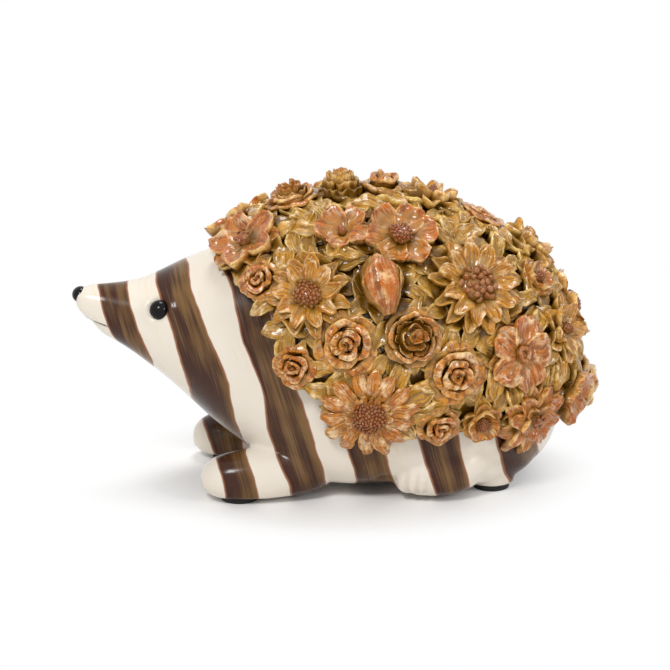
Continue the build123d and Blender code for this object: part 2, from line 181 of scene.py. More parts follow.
class Shader:
    """The nodes of a material or world under construction."""

    def __init__(self, owner: bpy.types.Material | bpy.types.World) -> None:
        """Start with no nodes.

        Args:
            owner: The material or world.
        """
        self.owner = owner
        owner.use_nodes = True
        self.tree = owner.node_tree
        self.tree.nodes.clear()

    def node(
        self, kind: str, settings: dict | None = None, inputs: dict | None = None, output: str | int = 0
    ) -> Wire:
        """Add a node.

        Args:
            kind: The node's type name.
            settings: Properties to set on the node.
            inputs: Values or sockets by input name or index.
            output: The output that is wanted.

        Returns:
            The wanted output.
        """
        made = self.tree.nodes.new(kind)
        for key, value in (settings or {}).items():
            setattr(made, key, value)
        for key, value in (inputs or {}).items():
            if isinstance(value, Wire):
                self.tree.links.new(value.socket, made.inputs[key])
            else:
                made.inputs[key].default_value = value
        return Wire(self, made.outputs[output] if made.outputs else made.inputs[0])

    def mix(self, share: Wire | float, first: Wire | Sequence[float], second: Wire | Sequence[float]) -> Wire:
        """Blend two colours.

        Args:
            share: How much of the second colour shows.
            first: Colour at share 0.
            second: Colour at share 1.

        Returns:
            The blended colour.
        """
        return self.node(
            "ShaderNodeMix", {"data_type": "RGBA"}, {0: share, 6: first, 7: second}, output=2
        )

    def attribute(self, name: str) -> Wire:
        """Read a mesh attribute.

        Args:
            name: The attribute's name.

        Returns:
            Its value.
        """
        return self.node("ShaderNodeAttribute", {"attribute_name": name}, output="Fac")

    def place(self, kind: str) -> tuple[Wire, Wire, Wire]:
        """Read the three parts of a texture coordinate.

        Args:
            kind: "Object" or "UV".

        Returns:
            The coordinate's X, Y and Z.
        """
        where = self.node("ShaderNodeTexCoord", output=kind)
        first = self.node("ShaderNodeSeparateXYZ", inputs={0: where})
        return first, first.twin(1), first.twin(2)

    def backdrop(self) -> Wire:
        """Tell rays that show the background from those that only light the object.

        Returns:
            1 for camera, glossy and transmission rays, else 0.
        """
        camera = self.node("ShaderNodeLightPath", output="Is Camera Ray")
        return camera + camera.twin("Is Glossy Ray") + camera.twin("Is Transmission Ray")

    def noise(self, x: Wire | float, y: Wire | float, z: Wire | float, detail: float = 2.0) -> Wire:
        """Sample noise of unit grain at a place.

        Args:
            x: First coordinate.
            y: Second coordinate.
            z: Third coordinate.
            detail: How many finer layers are added.

        Returns:
            Noise around one half.
        """
        spot = self.node("ShaderNodeCombineXYZ", inputs={0: x, 1: y, 2: z})
        return self.node(
            "ShaderNodeTexNoise", inputs={"Vector": spot, "Scale": 1.0, "Detail": detail, "Roughness": 0.55}
        )

    def finish(
        self,
        colour: Wire | Sequence[float],
        roughness: Wire | float,
        coat: float,
        shine: float,
        height: Wire,
        bump: float,
    ) -> bpy.types.Material:
        """Close the material with one principled surface.

        Args:
            colour: Base colour.
            roughness: Roughness.
            coat: Weight of the clear lacquer.
            shine: Specular level under the lacquer.
            height: Height that raises the surface.
            bump: Distance that a height of one stands for, in metres.

        Returns:
            The finished material.
        """
        raised = self.node("ShaderNodeBump", inputs={"Strength": 1.0, "Distance": bump, "Height": height})
        surface = self.node(
            "ShaderNodeBsdfPrincipled",
            inputs={
                "Base Color": colour, "Roughness": roughness, "Specular IOR Level": shine,
                "Coat Weight": coat, "Coat Roughness": 0.15, "Coat IOR": 1.4, "Normal": raised,
            },
        )
        self.node("ShaderNodeOutputMaterial", inputs={"Surface": surface})
        return self.owner


@dataclass(frozen=True)
class GlossFinish:
    """Black gloss or rubber: one colour with cloudy wear and a fine grain."""

    name: str
    colour: Colour
    worn: Colour
    roughness: float
    coat: float
    shine: float
    grain_depth: float

    def build(self) -> bpy.types.Material:
        """Make the material.

        Returns:
            The material.
        """
        shader = Shader(bpy.data.materials.new(self.name))
        x, y, z = shader.place("Object")
        cloud = shader.noise(x * 320.0, y * 320.0, z * 320.0, 3.0)
        grain = shader.noise(x * 2400.0, y * 2400.0, z * 2400.0, 2.0)
        colour = shader.mix((cloud - 0.45).step(0.0, 0.3) * 0.5, self.colour, self.worn)
        roughness = self.roughness + (cloud - 0.5) * 0.1
        return shader.finish(colour, roughness, self.coat, self.shine, grain, self.grain_depth)


@dataclass(frozen=True)
class PetalFinish:
    """Antiqued resin relief: dark glaze with painted shade in the hollows, milky patina on the slopes, amber tops,
    gold rims, painted highlights.
    """

    name: str
    wash_and_shade: Colour
    film_and_shade: Colour
    deep: Colour
    gold: Colour
    amber: Colour
    rim: Colour
    pale: Colour
    heart: Colour
    roughness: float = 0.32
    coat: float = 1.0
    shine: float = 0.14
    streak_depth: float = 0.50 * MM

    def build(self) -> bpy.types.Material:
        """Make the material.

        Returns:
            The material.
        """
        shader = Shader(bpy.data.materials.new(self.name))
        across, along, _ = shader.place("UV")
        x, y, z = shader.place("Object")
        tint, petal = shader.attribute("tint"), shader.attribute("petal")
        cloud = shader.noise(x * 150.0, y * 150.0, z * 150.0, 3.0)
        grit = shader.noise(x * 900.0, y * 900.0, z * 900.0, 2.0)
        hollow = shader.attribute("hollow") + (cloud - 0.5) * 0.22
        streak = shader.noise(across * 11.0 + petal * 37.0, along * 1.4, petal * 11.0, 3.0)
        fine = shader.noise(across * 30.0 + petal * 19.0, along * 2.6, petal * 7.0, 2.0)
        hue = (tint + (cloud - 0.5) * 0.9 + (petal - 0.5) * 0.35).step(0.1, 0.9)
        colour = shader.mix(hue, self.gold, self.amber)
        colour = shader.mix((0.56 - streak).step(0.0, 0.16) * 0.75, colour, self.deep)
        colour = shader.mix((1.0 - along.step(0.04, 0.42)) * 0.4, colour, self.deep)
        swirl = shader.noise(x * 240.0, y * 240.0, z * 240.0, 2.0)
        # Painted highlight: pale dry-brushed patches on the raised parts, kept out of the hollows.
        highlight_patches = (swirl * 0.6 + fine * 0.4 - 0.49).step(0.0, 0.17) * (1.0 - hollow.step(0.2, 0.6))
        colour = shader.mix(highlight_patches * (0.62 - tint * 0.3), colour, self.pale)
        # Painted highlight: pale on the tops of the relief.
        crest = (1.0 - hollow.step(0.0, 0.22)) * (swirl * 0.7 + streak * 0.3).step(0.42, 0.66)
        colour = shader.mix(crest * (0.72 - tint * 0.4), colour, self.pale)
        # Gold rims along the petal edges, kept out of the hollows; their pale gold is partly a painted highlight.
        side = abs(across * 2.0 - 1.0)
        edge = (side.step(0.72, 1.0) + along.step(0.84, 1.0) * 0.8) * (swirl * 0.6 + cloud * 0.4).step(0.38, 0.62)
        edge = edge * (1.0 - hollow.step(0.2, 0.6))
        colour = shader.mix(edge._with("MINIMUM", 1.0) * 0.85, colour, self.rim)
        colour = shader.mix(shader.attribute("heart") * 0.85, colour, self.heart)
        colour = shader.mix((grit - 0.58).step(0.0, 0.12) * 0.34, colour, self.film_and_shade)
        colour = shader.mix((0.44 - grit).step(0.0, 0.12) * 0.45, colour, self.deep)
        # Painted shade: the milky tone on the lower slopes and the dark tone in the hollows grow with the hollow
        # attribute, partly the antique glaze that gathers there and partly shade that falls there.
        colour = shader.mix(hollow.step(0.20, 0.46) * 0.34, colour, self.film_and_shade)
        colour = shader.mix(hollow.step(0.34, 0.82), colour, self.wash_and_shade)
        gloss = self.roughness + (cloud - 0.5) * 0.2
        height = streak * 0.6 + fine * 0.35 + grit * 0.12
        return shader.finish(colour, gloss, self.coat, self.shine, height, self.streak_depth)


@dataclass(frozen=True)
class PaintedFinish:
    """Hand-painted glaze: broad brown bands on cream with a thin line at each edge."""

    name: str
    cream: Colour
    ochre: Colour
    brown: Colour
    olive: Colour
    slate_sheen: Colour
    line: Colour
    nose_x: float = -0.116
    first_band: float = 13.2 * MM
    growth: float = 0.025
    lean: float = 0.28

    def build(self) -> bpy.types.Material:
        """Make the material.

        Returns:
            The material.
        """
        shader = Shader(bpy.data.materials.new(self.name))
        x, y, z = shader.place("Object")
        sway = shader.noise(x * 24.0, y * 24.0, z * 24.0, 1.0) - 0.5
        wobble = shader.noise(x * 130.0, y * 130.0, z * 130.0, 1.0) - 0.5
        plain = x - self.nose_x + (z - 0.085) * self.lean
        run = plain + sway * 0.011 + wobble * 0.0012
        count = (run * (self.growth / self.first_band) + 1.0).logarithm() / self.growth
        phase = (count * 0.5).fraction()
        brown_band = phase.step(0.494, 0.506)
        through = (phase - 0.5) * 2.0
        seam = abs(abs(abs(phase - 0.5) - 0.25) - 0.25)
        line = 1.0 - seam.step(0.006, 0.024)
        ring = shader.node("ShaderNodeMath", {"operation": "ARCTAN2"}, {0: y, 1: z - 0.062})
        streak = shader.noise((plain + sway * 0.004) * 1500.0, ring * 1.5, 3.0, 3.0)
        broad = shader.noise(run * 130.0, ring * 0.8, count * 2.3, 1.0)
        patch = shader.noise(x * 60.0, y * 60.0, z * 60.0, 1.0)
        olive = through * 0.7 + (broad - 0.5) * 1.5 + (streak - 0.5) * 0.9 + (patch - 0.5) * 0.7
        glaze = shader.mix(olive.step(0.05, 0.95), self.brown, self.olive)
        # Painted highlight: pale grey streaks in the brown bands, a painted sheen.
        glaze = shader.mix((streak - 0.55).step(0.0, 0.2) * 0.26, glaze, self.slate_sheen)
        glaze = shader.mix((0.47 - streak).step(0.0, 0.2) * 0.5, glaze, self.brown)
        drift = shader.noise(run * 380.0, ring * 1.2, 21.0, 2.0)
        light = shader.mix((drift - 0.58).step(0.0, 0.16) * 0.4, self.cream, self.ochre)
        colour = shader.mix(brown_band, light, glaze)
        colour = shader.mix(line * 0.9, colour, self.line)
        # Painted shade: a dark brown line along the mouth slit, standing in for the slit's shadow.
        lip = z + (x + 0.1084) * MouthLine.slope - MouthLine.height
        mouth = (1.0 - abs(lip + 0.0004).step(0.0003, 0.0008)) * (1.0 - x.step(-0.1015, -0.0985))
        colour = shader.mix(mouth * 0.9, colour, self.brown)
        return shader.finish(colour, 0.2, 0.35, 0.12, streak * brown_band, 0.02 * MM)


class MouthLine:
    """Where the mouth runs on the snout: its height at the lip and how fast it falls backwards."""

    height = 75.9 * MM
    slope = 0.24


@dataclass(frozen=True)
class MantleForm:
    """The tilted ellipsoid that the flowers stand on."""

    centre: Triple = (18.94 * MM, 0.0, 61.4 * MM)
    half: Triple = (86.7 * MM, 57.0 * MM, 63.5 * MM)
    tilt: float = math.radians(10.7)

    def axes(self) -> np.ndarray:
        """Directions of the ellipsoid's length, width and height.

        Returns:
            Three rows, each a unit direction.
        """
        c, s = math.cos(self.tilt), math.sin(self.tilt)
        return np.array([[c, 0.0, -s], [0.0, 1.0, 0.0], [s, 0.0, c]])

    def level(self, points: np.ndarray) -> np.ndarray:
        """How far out points lie: 1 is on the mantle.

        Args:
            points: Places, one to a row.

        Returns:
            One number for each place.
        """
        local = (points - np.array(self.centre)) @ self.axes().T / np.array(self.half)
        return np.linalg.norm(local, axis=1)

    def drop(self, points: np.ndarray) -> np.ndarray:
        """Bring points onto the mantle along the line to its centre.

        Args:
            points: Places, one to a row.

        Returns:
            Places on the mantle.
        """
        centre = np.array(self.centre)
        return centre + (points - centre) / self.level(points)[:, None]

    def outward(self, points: np.ndarray) -> np.ndarray:
        """Outward directions at points.

        Args:
            points: Places, one to a row.

        Returns:
            Unit directions.
        """
        axes = self.axes()
        local = (points - np.array(self.centre)) @ axes.T / np.array(self.half) ** 2
        world = local @ axes
        return world / np.linalg.norm(world, axis=1)[:, None]

    def height(self, points: np.ndarray) -> np.ndarray:
        """Height of points above the mantle.

        Args:
            points: Places, one to a row.

        Returns:
            Heights in metres.
        """
        down = self.drop(points)
        return np.einsum("ij,ij->i", points - down, self.outward(down))


@dataclass
class Seat:
    """Where one flower or leaf stands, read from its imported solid."""

    origin: np.ndarray
    axis: np.ndarray
    lengthwise: np.ndarray
    radius: float

    @classmethod
    def read(cls, points: np.ndarray, form: MantleForm) -> "Seat":
        """Find the seat of a solid from its vertices.

        Args:
            points: The solid's vertices.
            form: The mantle.

        Returns:
            The seat.
        """
        heights = form.height(points)
        foot = points[heights < heights.min() + 0.3 * MM]
        middle = (foot.min(axis=0) + foot.max(axis=0)) / 2
        origin = form.drop(middle[None, :])
        axis = form.outward(origin)[0]
        flat = points - origin[0]
        flat = flat - np.outer(flat @ axis, axis)
        values, vectors = np.linalg.eigh(flat.T @ flat)
        lengthwise = vectors[:, int(np.argmax(values))]
        lengthwise = lengthwise * (1.0 if lengthwise[int(np.argmax(np.abs(lengthwise)))] > 0 else -1.0)
        return cls(origin[0], axis, lengthwise, float(np.linalg.norm(flat, axis=1).max()))

    def spread(self, local: np.ndarray, spin: float, form: MantleForm, hug: float) -> np.ndarray:
        """Lay local points over the mantle around this seat.

        Args:
            local: Points whose Z is the height above the mantle.
            spin: Turn about the seat's axis, in radians.
            form: The mantle.
            hug: How closely the points follow the mantle's curve, from 0 to 1.

        Returns:
            Places in the row frame.
        """
        first = self.lengthwise
        second = np.cross(self.axis, first)
        c, s = math.cos(spin), math.sin(spin)
        x = local[:, 0] * c - local[:, 1] * s
        y = local[:, 0] * s + local[:, 1] * c
        flat = self.origin + np.outer(x, first) + np.outer(y, second)
        down = form.drop(flat)
        base = flat + (down - flat) * hug
        lift = form.outward(down) * hug + self.axis * (1.0 - hug)
        lift = lift / np.linalg.norm(lift, axis=1)[:, None]
        return base + lift * local[:, 2][:, None]


class Tip(Enum):
    """How a petal ends."""

    ROUND = "round"
    POINTED = "pointed"
    NOTCHED = "notched"


class Heart(Enum):
    """What fills a flower's middle."""

    BEADS = "beads"
    LUMPS = "lumps"
    DOME = "dome"
    STAMENS = "stamens"
    RING = "ring"


@dataclass(frozen=True)
class Ring:
    """A ring of petals. Widths and reaches are shares of the flower's radius, heights are in millimetres."""

    count: int
    start: float
    end: float
    width: float
    foot: float
    top: float
    tip: Tip = Tip.ROUND
    belly: float = 0.0
    cup: float = 0.6
    curl: float = 0.0
    crease: float = 0.7
    wrap: float = 0.0
    turn: float = 0.0


@dataclass(frozen=True)
class Kind:
    """A flower's build."""

    rings: tuple[Ring, ...]
    heart: Heart
    heart_radius: float
    heart_top: float
    tint: float
    hug: float = 0.8
    grow: float = 1.12


KINDS: dict[str, Kind] = {
    "sunflower": Kind(
        (
            Ring(13, 0.28, 1.00, 0.185, 2.8, 4.6, Tip.POINTED, 1.6, 1.5, 0.8, 1.3),
            Ring(11, 0.26, 0.80, 0.175, 4.4, 8.6, Tip.POINTED, 1.2, 1.5, 1.0, 1.3, turn=0.5),
        ),
        Heart.LUMPS, 0.34, 8.2, 0.12, grow=1.08,
    ),
    "daisy": Kind(
        (
            Ring(13, 0.34, 0.97, 0.165, 2.4, 2.2, Tip.ROUND, 0.8, -0.7, -0.8, 0.7, turn=0.5),
            Ring(14, 0.32, 1.00, 0.160, 4.6, 4.4, Tip.ROUND, 1.6, -0.9, -1.2, 0.8),
            Ring(26, 0.28, 0.46, 0.048, 5.4, 6.6, Tip.POINTED, 0.2, 0.2, 0.0, 0.1),
        ),
        Heart.BEADS, 0.34, 8.2, 0.55, grow=1.08,
    ),
    "aster": Kind(
        (
            Ring(11, 0.20, 1.00, 0.21, 2.8, 4.8, Tip.POINTED, 1.6, 1.3, 0.4, 1.2),
            Ring(9, 0.20, 0.74, 0.20, 4.4, 8.6, Tip.POINTED, 0.8, 1.3, 0.8, 1.2, turn=0.5),
        ),
        Heart.BEADS, 0.29, 8.4, 0.20,
    ),
    "primrose": Kind(
        (
            Ring(5, 0.10, 1.00, 0.43, 5.0, 5.0, Tip.NOTCHED, 1.2, 1.5, 0.8, 1.4),
            Ring(5, 0.30, 0.94, 0.30, 2.0, 3.0, Tip.POINTED, 0.8, 1.0, 0.4, 1.0, turn=0.5),
        ),
        Heart.RING, 0.17, 7.0, 0.66, 0.7,
    ),
    "cosmos": Kind(
        (
            Ring(6, 0.14, 1.00, 0.42, 3.2, 7.0, Tip.ROUND, -0.6, 2.2, 1.4, 0.8),
            Ring(5, 0.34, 0.98, 0.32, 1.6, 3.2, Tip.ROUND, 0.6, 1.4, 0.8, 0.8, turn=0.5),
        ),
        Heart.BEADS, 0.28, 8.6, 0.95, 0.7,
    ),
    "lily": Kind(
        (
            Ring(5, 0.30, 0.98, 0.36, 1.6, 4.4, Tip.POINTED, 1.0, 1.6, 0.4, 1.2, turn=0.5),
            Ring(5, 0.05, 1.00, 0.42, 2.6, 8.2, Tip.POINTED, 0.2, 2.2, 0.4, 1.2),
        ),
        Heart.STAMENS, 0.16, 7.4, 0.90, 0.6,
    ),
    "star": Kind(
        (
            Ring(6, 0.16, 1.00, 0.34, 2.2, 5.0, Tip.POINTED, 1.2, 1.6, 0.2, 1.4),
            Ring(5, 0.12, 0.74, 0.28, 4.2, 9.0, Tip.POINTED, 0.6, 1.5, 0.6, 1.3, turn=0.5),
        ),
        Heart.BEADS, 0.17, 8.4, 0.16, 0.6,
    ),
    "rose": Kind(
        (
            Ring(4, 0.60, 0.84, 0.20, 0.6, 5.4, wrap=118.0, curl=1.4),
            Ring(3, 0.44, 0.60, 0.18, 0.6, 8.0, wrap=158.0, curl=1.2, turn=0.3),
            Ring(3, 0.22, 0.36, 0.13, 0.6, 9.2, wrap=150.0, curl=0.7, turn=0.75),
            Ring(2, 0.08, 0.16, 0.07, 0.6, 9.4, wrap=215.0, curl=0.2, turn=0.1),
        ),
        Heart.DOME, 0.09, 8.4, 0.55, 0.5, 1.12,
    ),
    "rosebud": Kind(
        (
            Ring(4, 0.58, 0.84, 0.20, 0.6, 5.0, wrap=118.0, curl=1.0),
            Ring(3, 0.34, 0.52, 0.17, 0.6, 7.6, wrap=152.0, curl=0.9, turn=0.4),
            Ring(2, 0.12, 0.24, 0.10, 0.6, 8.4, wrap=210.0, curl=0.3, turn=0.2),
        ),
        Heart.DOME, 0.13, 7.4, 0.62, 0.4, 1.14,
    ),
    "peony": Kind(
        (
            Ring(5, 0.64, 0.98, 0.06, 0.6, 6.2, wrap=92.0, curl=0.4),
            Ring(5, 0.56, 0.80, 0.02, 0.6, 8.6, wrap=88.0, curl=-0.6, turn=0.5),
            Ring(10, 0.36, 0.64, 0.19, 5.4, 9.6, Tip.ROUND, 0.4, 0.8, 0.5, 0.6),
            Ring(7, 0.22, 0.44, 0.19, 7.8, 12.0, Tip.ROUND, 0.4, 0.8, 0.4, 0.6, turn=0.5),
            Ring(4, 0.02, 0.22, 0.17, 10.0, 13.8, Tip.ROUND, 0.3, 0.6, 0.3, 0.4),
        ),
        Heart.DOME, 0.52, 10.4, 0.60, 0.4,
    ),
    "mum": Kind(
        (
            Ring(12, 0.30, 1.00, 0.25, 2.6, 4.2, Tip.ROUND, 1.2, 0.6, 0.6),
            Ring(11, 0.26, 0.84, 0.22, 4.4, 6.6, Tip.ROUND, 1.0, 0.6, 0.8, turn=0.5),
            Ring(9, 0.20, 0.62, 0.20, 5.6, 8.6, Tip.ROUND, 0.8, 0.6, 0.9),
            Ring(6, 0.10, 0.38, 0.18, 6.6, 9.8, Tip.ROUND, 0.6, 0.5, 0.6, turn=0.5),
        ),
        Heart.DOME, 0.18, 9.0, 0.25, 0.5,
    ),
    "button": Kind(
        (
            Ring(6, 0.26, 1.00, 0.46, 1.6, 4.4, Tip.ROUND, 0.8, 1.2, 0.5, 0.6),
            Ring(6, 0.22, 0.74, 0.38, 3.6, 7.0, Tip.ROUND, 0.6, 1.2, 0.6, 0.6, turn=0.5),
        ),
        Heart.BEADS, 0.32, 7.8, 0.60, 0.5, 1.15,
    ),
    "blossom": Kind(
        (
            Ring(5, 0.20, 0.92, 0.30, 1.6, 3.4, Tip.POINTED, 0.8, 1.2, 0.4, 0.9, turn=0.5),
            Ring(5, 0.10, 1.00, 0.46, 2.8, 7.0, Tip.ROUND, 0.8, 2.0, 1.2, 0.9),
        ),
        Heart.DOME, 0.15, 7.6, 0.85, 0.6, 1.5,
    ),
    "dahlia": Kind(
        (
            Ring(9, 0.20, 1.00, 0.24, 2.6, 4.2, Tip.POINTED, 1.4, 1.4, 0.3, 1.0),
            Ring(8, 0.18, 0.78, 0.21, 4.0, 7.2, Tip.POINTED, 0.8, 1.3, 0.5, 1.0, turn=0.5),
            Ring(5, 0.10, 0.48, 0.17, 4.8, 8.6, Tip.POINTED, 0.4, 1.0, 0.4, 0.8),
        ),
        Heart.STAMENS, 0.14, 8.4, 0.80, 0.85, 1.30,
    ),
}
RECUT: dict[str, str] = {
    "left_button_nape": "blossom", "right_button_nape": "blossom",
    "left_button_tail": "blossom", "right_button_tail": "blossom",
    "left_lily_haunch": "dahlia", "right_lily_haunch": "dahlia",
}


STRETCH: dict[str, float] = {
    "peony_crown": 0.86, "mum_nape": 1.25, "rosebud_back": 1.5, "star_loin": 1.12, "rose_loin": 0.75,
    "star_tail": 1.2, "rose_tail": 1.6, "left_button_tail": 1.3, "right_button_tail": 1.3,
}


class Bench:
    """Common steps of modelling with operators."""

    @staticmethod
    def only(obj: bpy.types.Object) -> None:
        """Make an object the only selected and active one.

        Args:
            obj: The object.
        """
        bpy.ops.object.select_all(action="DESELECT")
        obj.select_set(True)
        bpy.context.view_layer.objects.active = obj

    @classmethod
    def apply(cls, obj: bpy.types.Object, kind: str, **settings: object) -> None:
        """Add a modifier and apply it.

        Args:
            obj: The object.
            kind: The modifier's type.
            settings: Properties to set on the modifier.
        """
        cls.only(obj)
        modifier = obj.modifiers.new(kind.title(), kind)
        for key, value in settings.items():
            setattr(modifier, key, value)
        bpy.ops.object.modifier_apply(modifier=modifier.name)

    @staticmethod
    def points(mesh: bpy.types.Mesh) -> np.ndarray:
        """Read a mesh's vertices.

        Args:
            mesh: The mesh.

        Returns:
            One row for each vertex.
        """
        flat = np.empty(len(mesh.vertices) * 3, dtype=np.float64)
        mesh.vertices.foreach_get("co", flat)
        return flat.reshape(-1, 3)

    @staticmethod
    def put(mesh: bpy.types.Mesh, points: np.ndarray) -> None:
        """Write a mesh's vertices.

        Args:
            mesh: The mesh.
            points: One row for each vertex.
        """
        mesh.vertices.foreach_set("co", points.reshape(-1))
        mesh.update()

    @staticmethod
    def note(mesh: bpy.types.Mesh, name: str, values: np.ndarray) -> None:
        """Keep one number for each vertex on the mesh.

        Args:
            mesh: The mesh.
            name: The attribute's name.
            values: The numbers.
        """
        old = mesh.attributes.get(name)
        kept = old if old is not None else mesh.attributes.new(name, "FLOAT", "POINT")
        kept.data.foreach_set("value", values.astype(np.float32))

    @staticmethod
    def smooth(obj: bpy.types.Object) -> None:
        """Shade an object smoothly.

        Args:
            obj: The object.
        """
        obj.data.polygons.foreach_set("use_smooth", [True] * len(obj.data.polygons))

    @classmethod
    def grid(cls, across: int, along: int) -> bpy.types.Object:
        """Flat sheet from 0 to 1 both ways, with matching texture coordinates.

        Args:
            across: Cells across.
            along: Cells along.

        Returns:
            The sheet.
        """
        bpy.ops.object.select_all(action="DESELECT")
        bpy.ops.mesh.primitive_grid_add(
            x_subdivisions=across, y_subdivisions=along, size=1.0, location=(0, 0, 0), calc_uvs=True
        )
        obj = bpy.context.object
        cls.put(obj.data, cls.points(obj.data) + np.array([0.5, 0.5, 0.0]))
        return obj

    @classmethod
    def bead(cls, radius: float, detail: int) -> bpy.types.Object:
        """Small ball at the origin.

        Args:
            radius: The ball's radius.
            detail: How finely the ball is divided.

        Returns:
            The ball.
        """
        bpy.ops.object.select_all(action="DESELECT")
        bpy.ops.mesh.primitive_ico_sphere_add(subdivisions=detail, radius=radius, calc_uvs=True)
        return bpy.context.object

    @staticmethod
    def copy(obj: bpy.types.Object) -> bpy.types.Object:
        """Copy an object with a mesh of its own.

        Args:
            obj: The object.

        Returns:
            The copy.
        """
        twin = obj.copy()
        twin.data = obj.data.copy()
        bpy.context.scene.collection.objects.link(twin)
        return twin


@dataclass
class Cast:
    """A modelled shape held as plain arrays, so that it can be repeated quickly."""

    points: np.ndarray
    corners: np.ndarray
    starts: np.ndarray
    uv: np.ndarray
    notes: dict[str, np.ndarray]

    @classmethod
    def take(cls, obj: bpy.types.Object, tint: float = 0.0, heart: float = 0.0) -> "Cast":
        """Read a modelled object and delete it.

        Args:
            obj: The object.
            tint: Hue from gold, 0, to amber, 1.
            heart: 1 for the middle of a flower, 0 for petals.

        Returns:
            The shape.
        """
        mesh = obj.data
        corners = np.empty(len(mesh.loops), dtype=np.int32)
        mesh.loops.foreach_get("vertex_index", corners)
        starts = np.empty(len(mesh.polygons), dtype=np.int32)
        mesh.polygons.foreach_get("loop_start", starts)
        uv = np.full(len(mesh.loops) * 2, 0.5, dtype=np.float32)
        if mesh.uv_layers:
            mesh.uv_layers[0].data.foreach_get("uv", uv)
        count = len(mesh.vertices)
        notes = {"tint": np.full(count, tint), "heart": np.full(count, heart), "petal": np.zeros(count)}
        made = cls(Bench.points(mesh), corners, starts, uv.reshape(-1, 2), notes)
        bpy.data.objects.remove(obj)
        bpy.data.meshes.remove(mesh)
        return made

    def placed(self, points: np.ndarray, petal: float | None = None) -> "Cast":
        """Repeat the shape with its vertices elsewhere.

        Args:
            points: The new vertices.
            petal: A number of its own for the copy, if it gets one.

        Returns:
            The copy.
        """
        notes = dict(self.notes)
        if petal is not None:
            notes["petal"] = np.full(len(points), petal)
        return Cast(points, self.corners, self.starts, self.uv, notes)

    def turned(self, angle: float, petal: float, lean: float = 0.0) -> "Cast":
        """Repeat the shape turned about Z.

        Args:
            angle: Turn about Z in radians.
            petal: A number of its own for the copy.
            lean: Turn about X before that, in radians.

        Returns:
            The copy.
        """
        turn = np.array(Matrix.Rotation(angle, 3, "Z") @ Matrix.Rotation(lean, 3, "X"))
        return self.placed(self.points @ turn.T, petal)

    @classmethod
    def merged(cls, casts: Sequence["Cast"]) -> "Cast":
        """Put shapes together.

        Args:
            casts: The shapes.

        Returns:
            One shape.
        """
        vertex_steps = np.cumsum([0] + [len(cast.points) for cast in casts[:-1]])
        corner_steps = np.cumsum([0] + [len(cast.corners) for cast in casts[:-1]])
        return cls(
            np.concatenate([cast.points for cast in casts]),
            np.concatenate([cast.corners + step for cast, step in zip(casts, vertex_steps)]),
            np.concatenate([cast.starts + step for cast, step in zip(casts, corner_steps)]),
            np.concatenate([cast.uv for cast in casts]),
            {key: np.concatenate([cast.notes[key] for cast in casts]) for key in casts[0].notes},
        )

    def pour(self, name: str, finish: bpy.types.Material) -> bpy.types.Object:
        """Make an object of the shape.

        Args:
            name: The object's name.
            finish: Its material.

        Returns:
            The object.
        """
        mesh = bpy.data.meshes.new(name)
        mesh.vertices.add(len(self.points))
        mesh.vertices.foreach_set("co", self.points.reshape(-1))
        mesh.loops.add(len(self.corners))
        mesh.loops.foreach_set("vertex_index", self.corners.astype(np.int32))
        mesh.polygons.add(len(self.starts))
        mesh.polygons.foreach_set("loop_start", self.starts.astype(np.int32))
        mesh.uv_layers.new(name="UVMap").data.foreach_set("uv", self.uv.reshape(-1))
        mesh.update(calc_edges=True)
        mesh.validate()
        for key, values in self.notes.items():
            Bench.note(mesh, key, values)
        obj = bpy.data.objects.new(name, mesh)
        bpy.context.scene.collection.objects.link(obj)
        mesh.materials.append(finish)
        Bench.smooth(obj)
        return obj


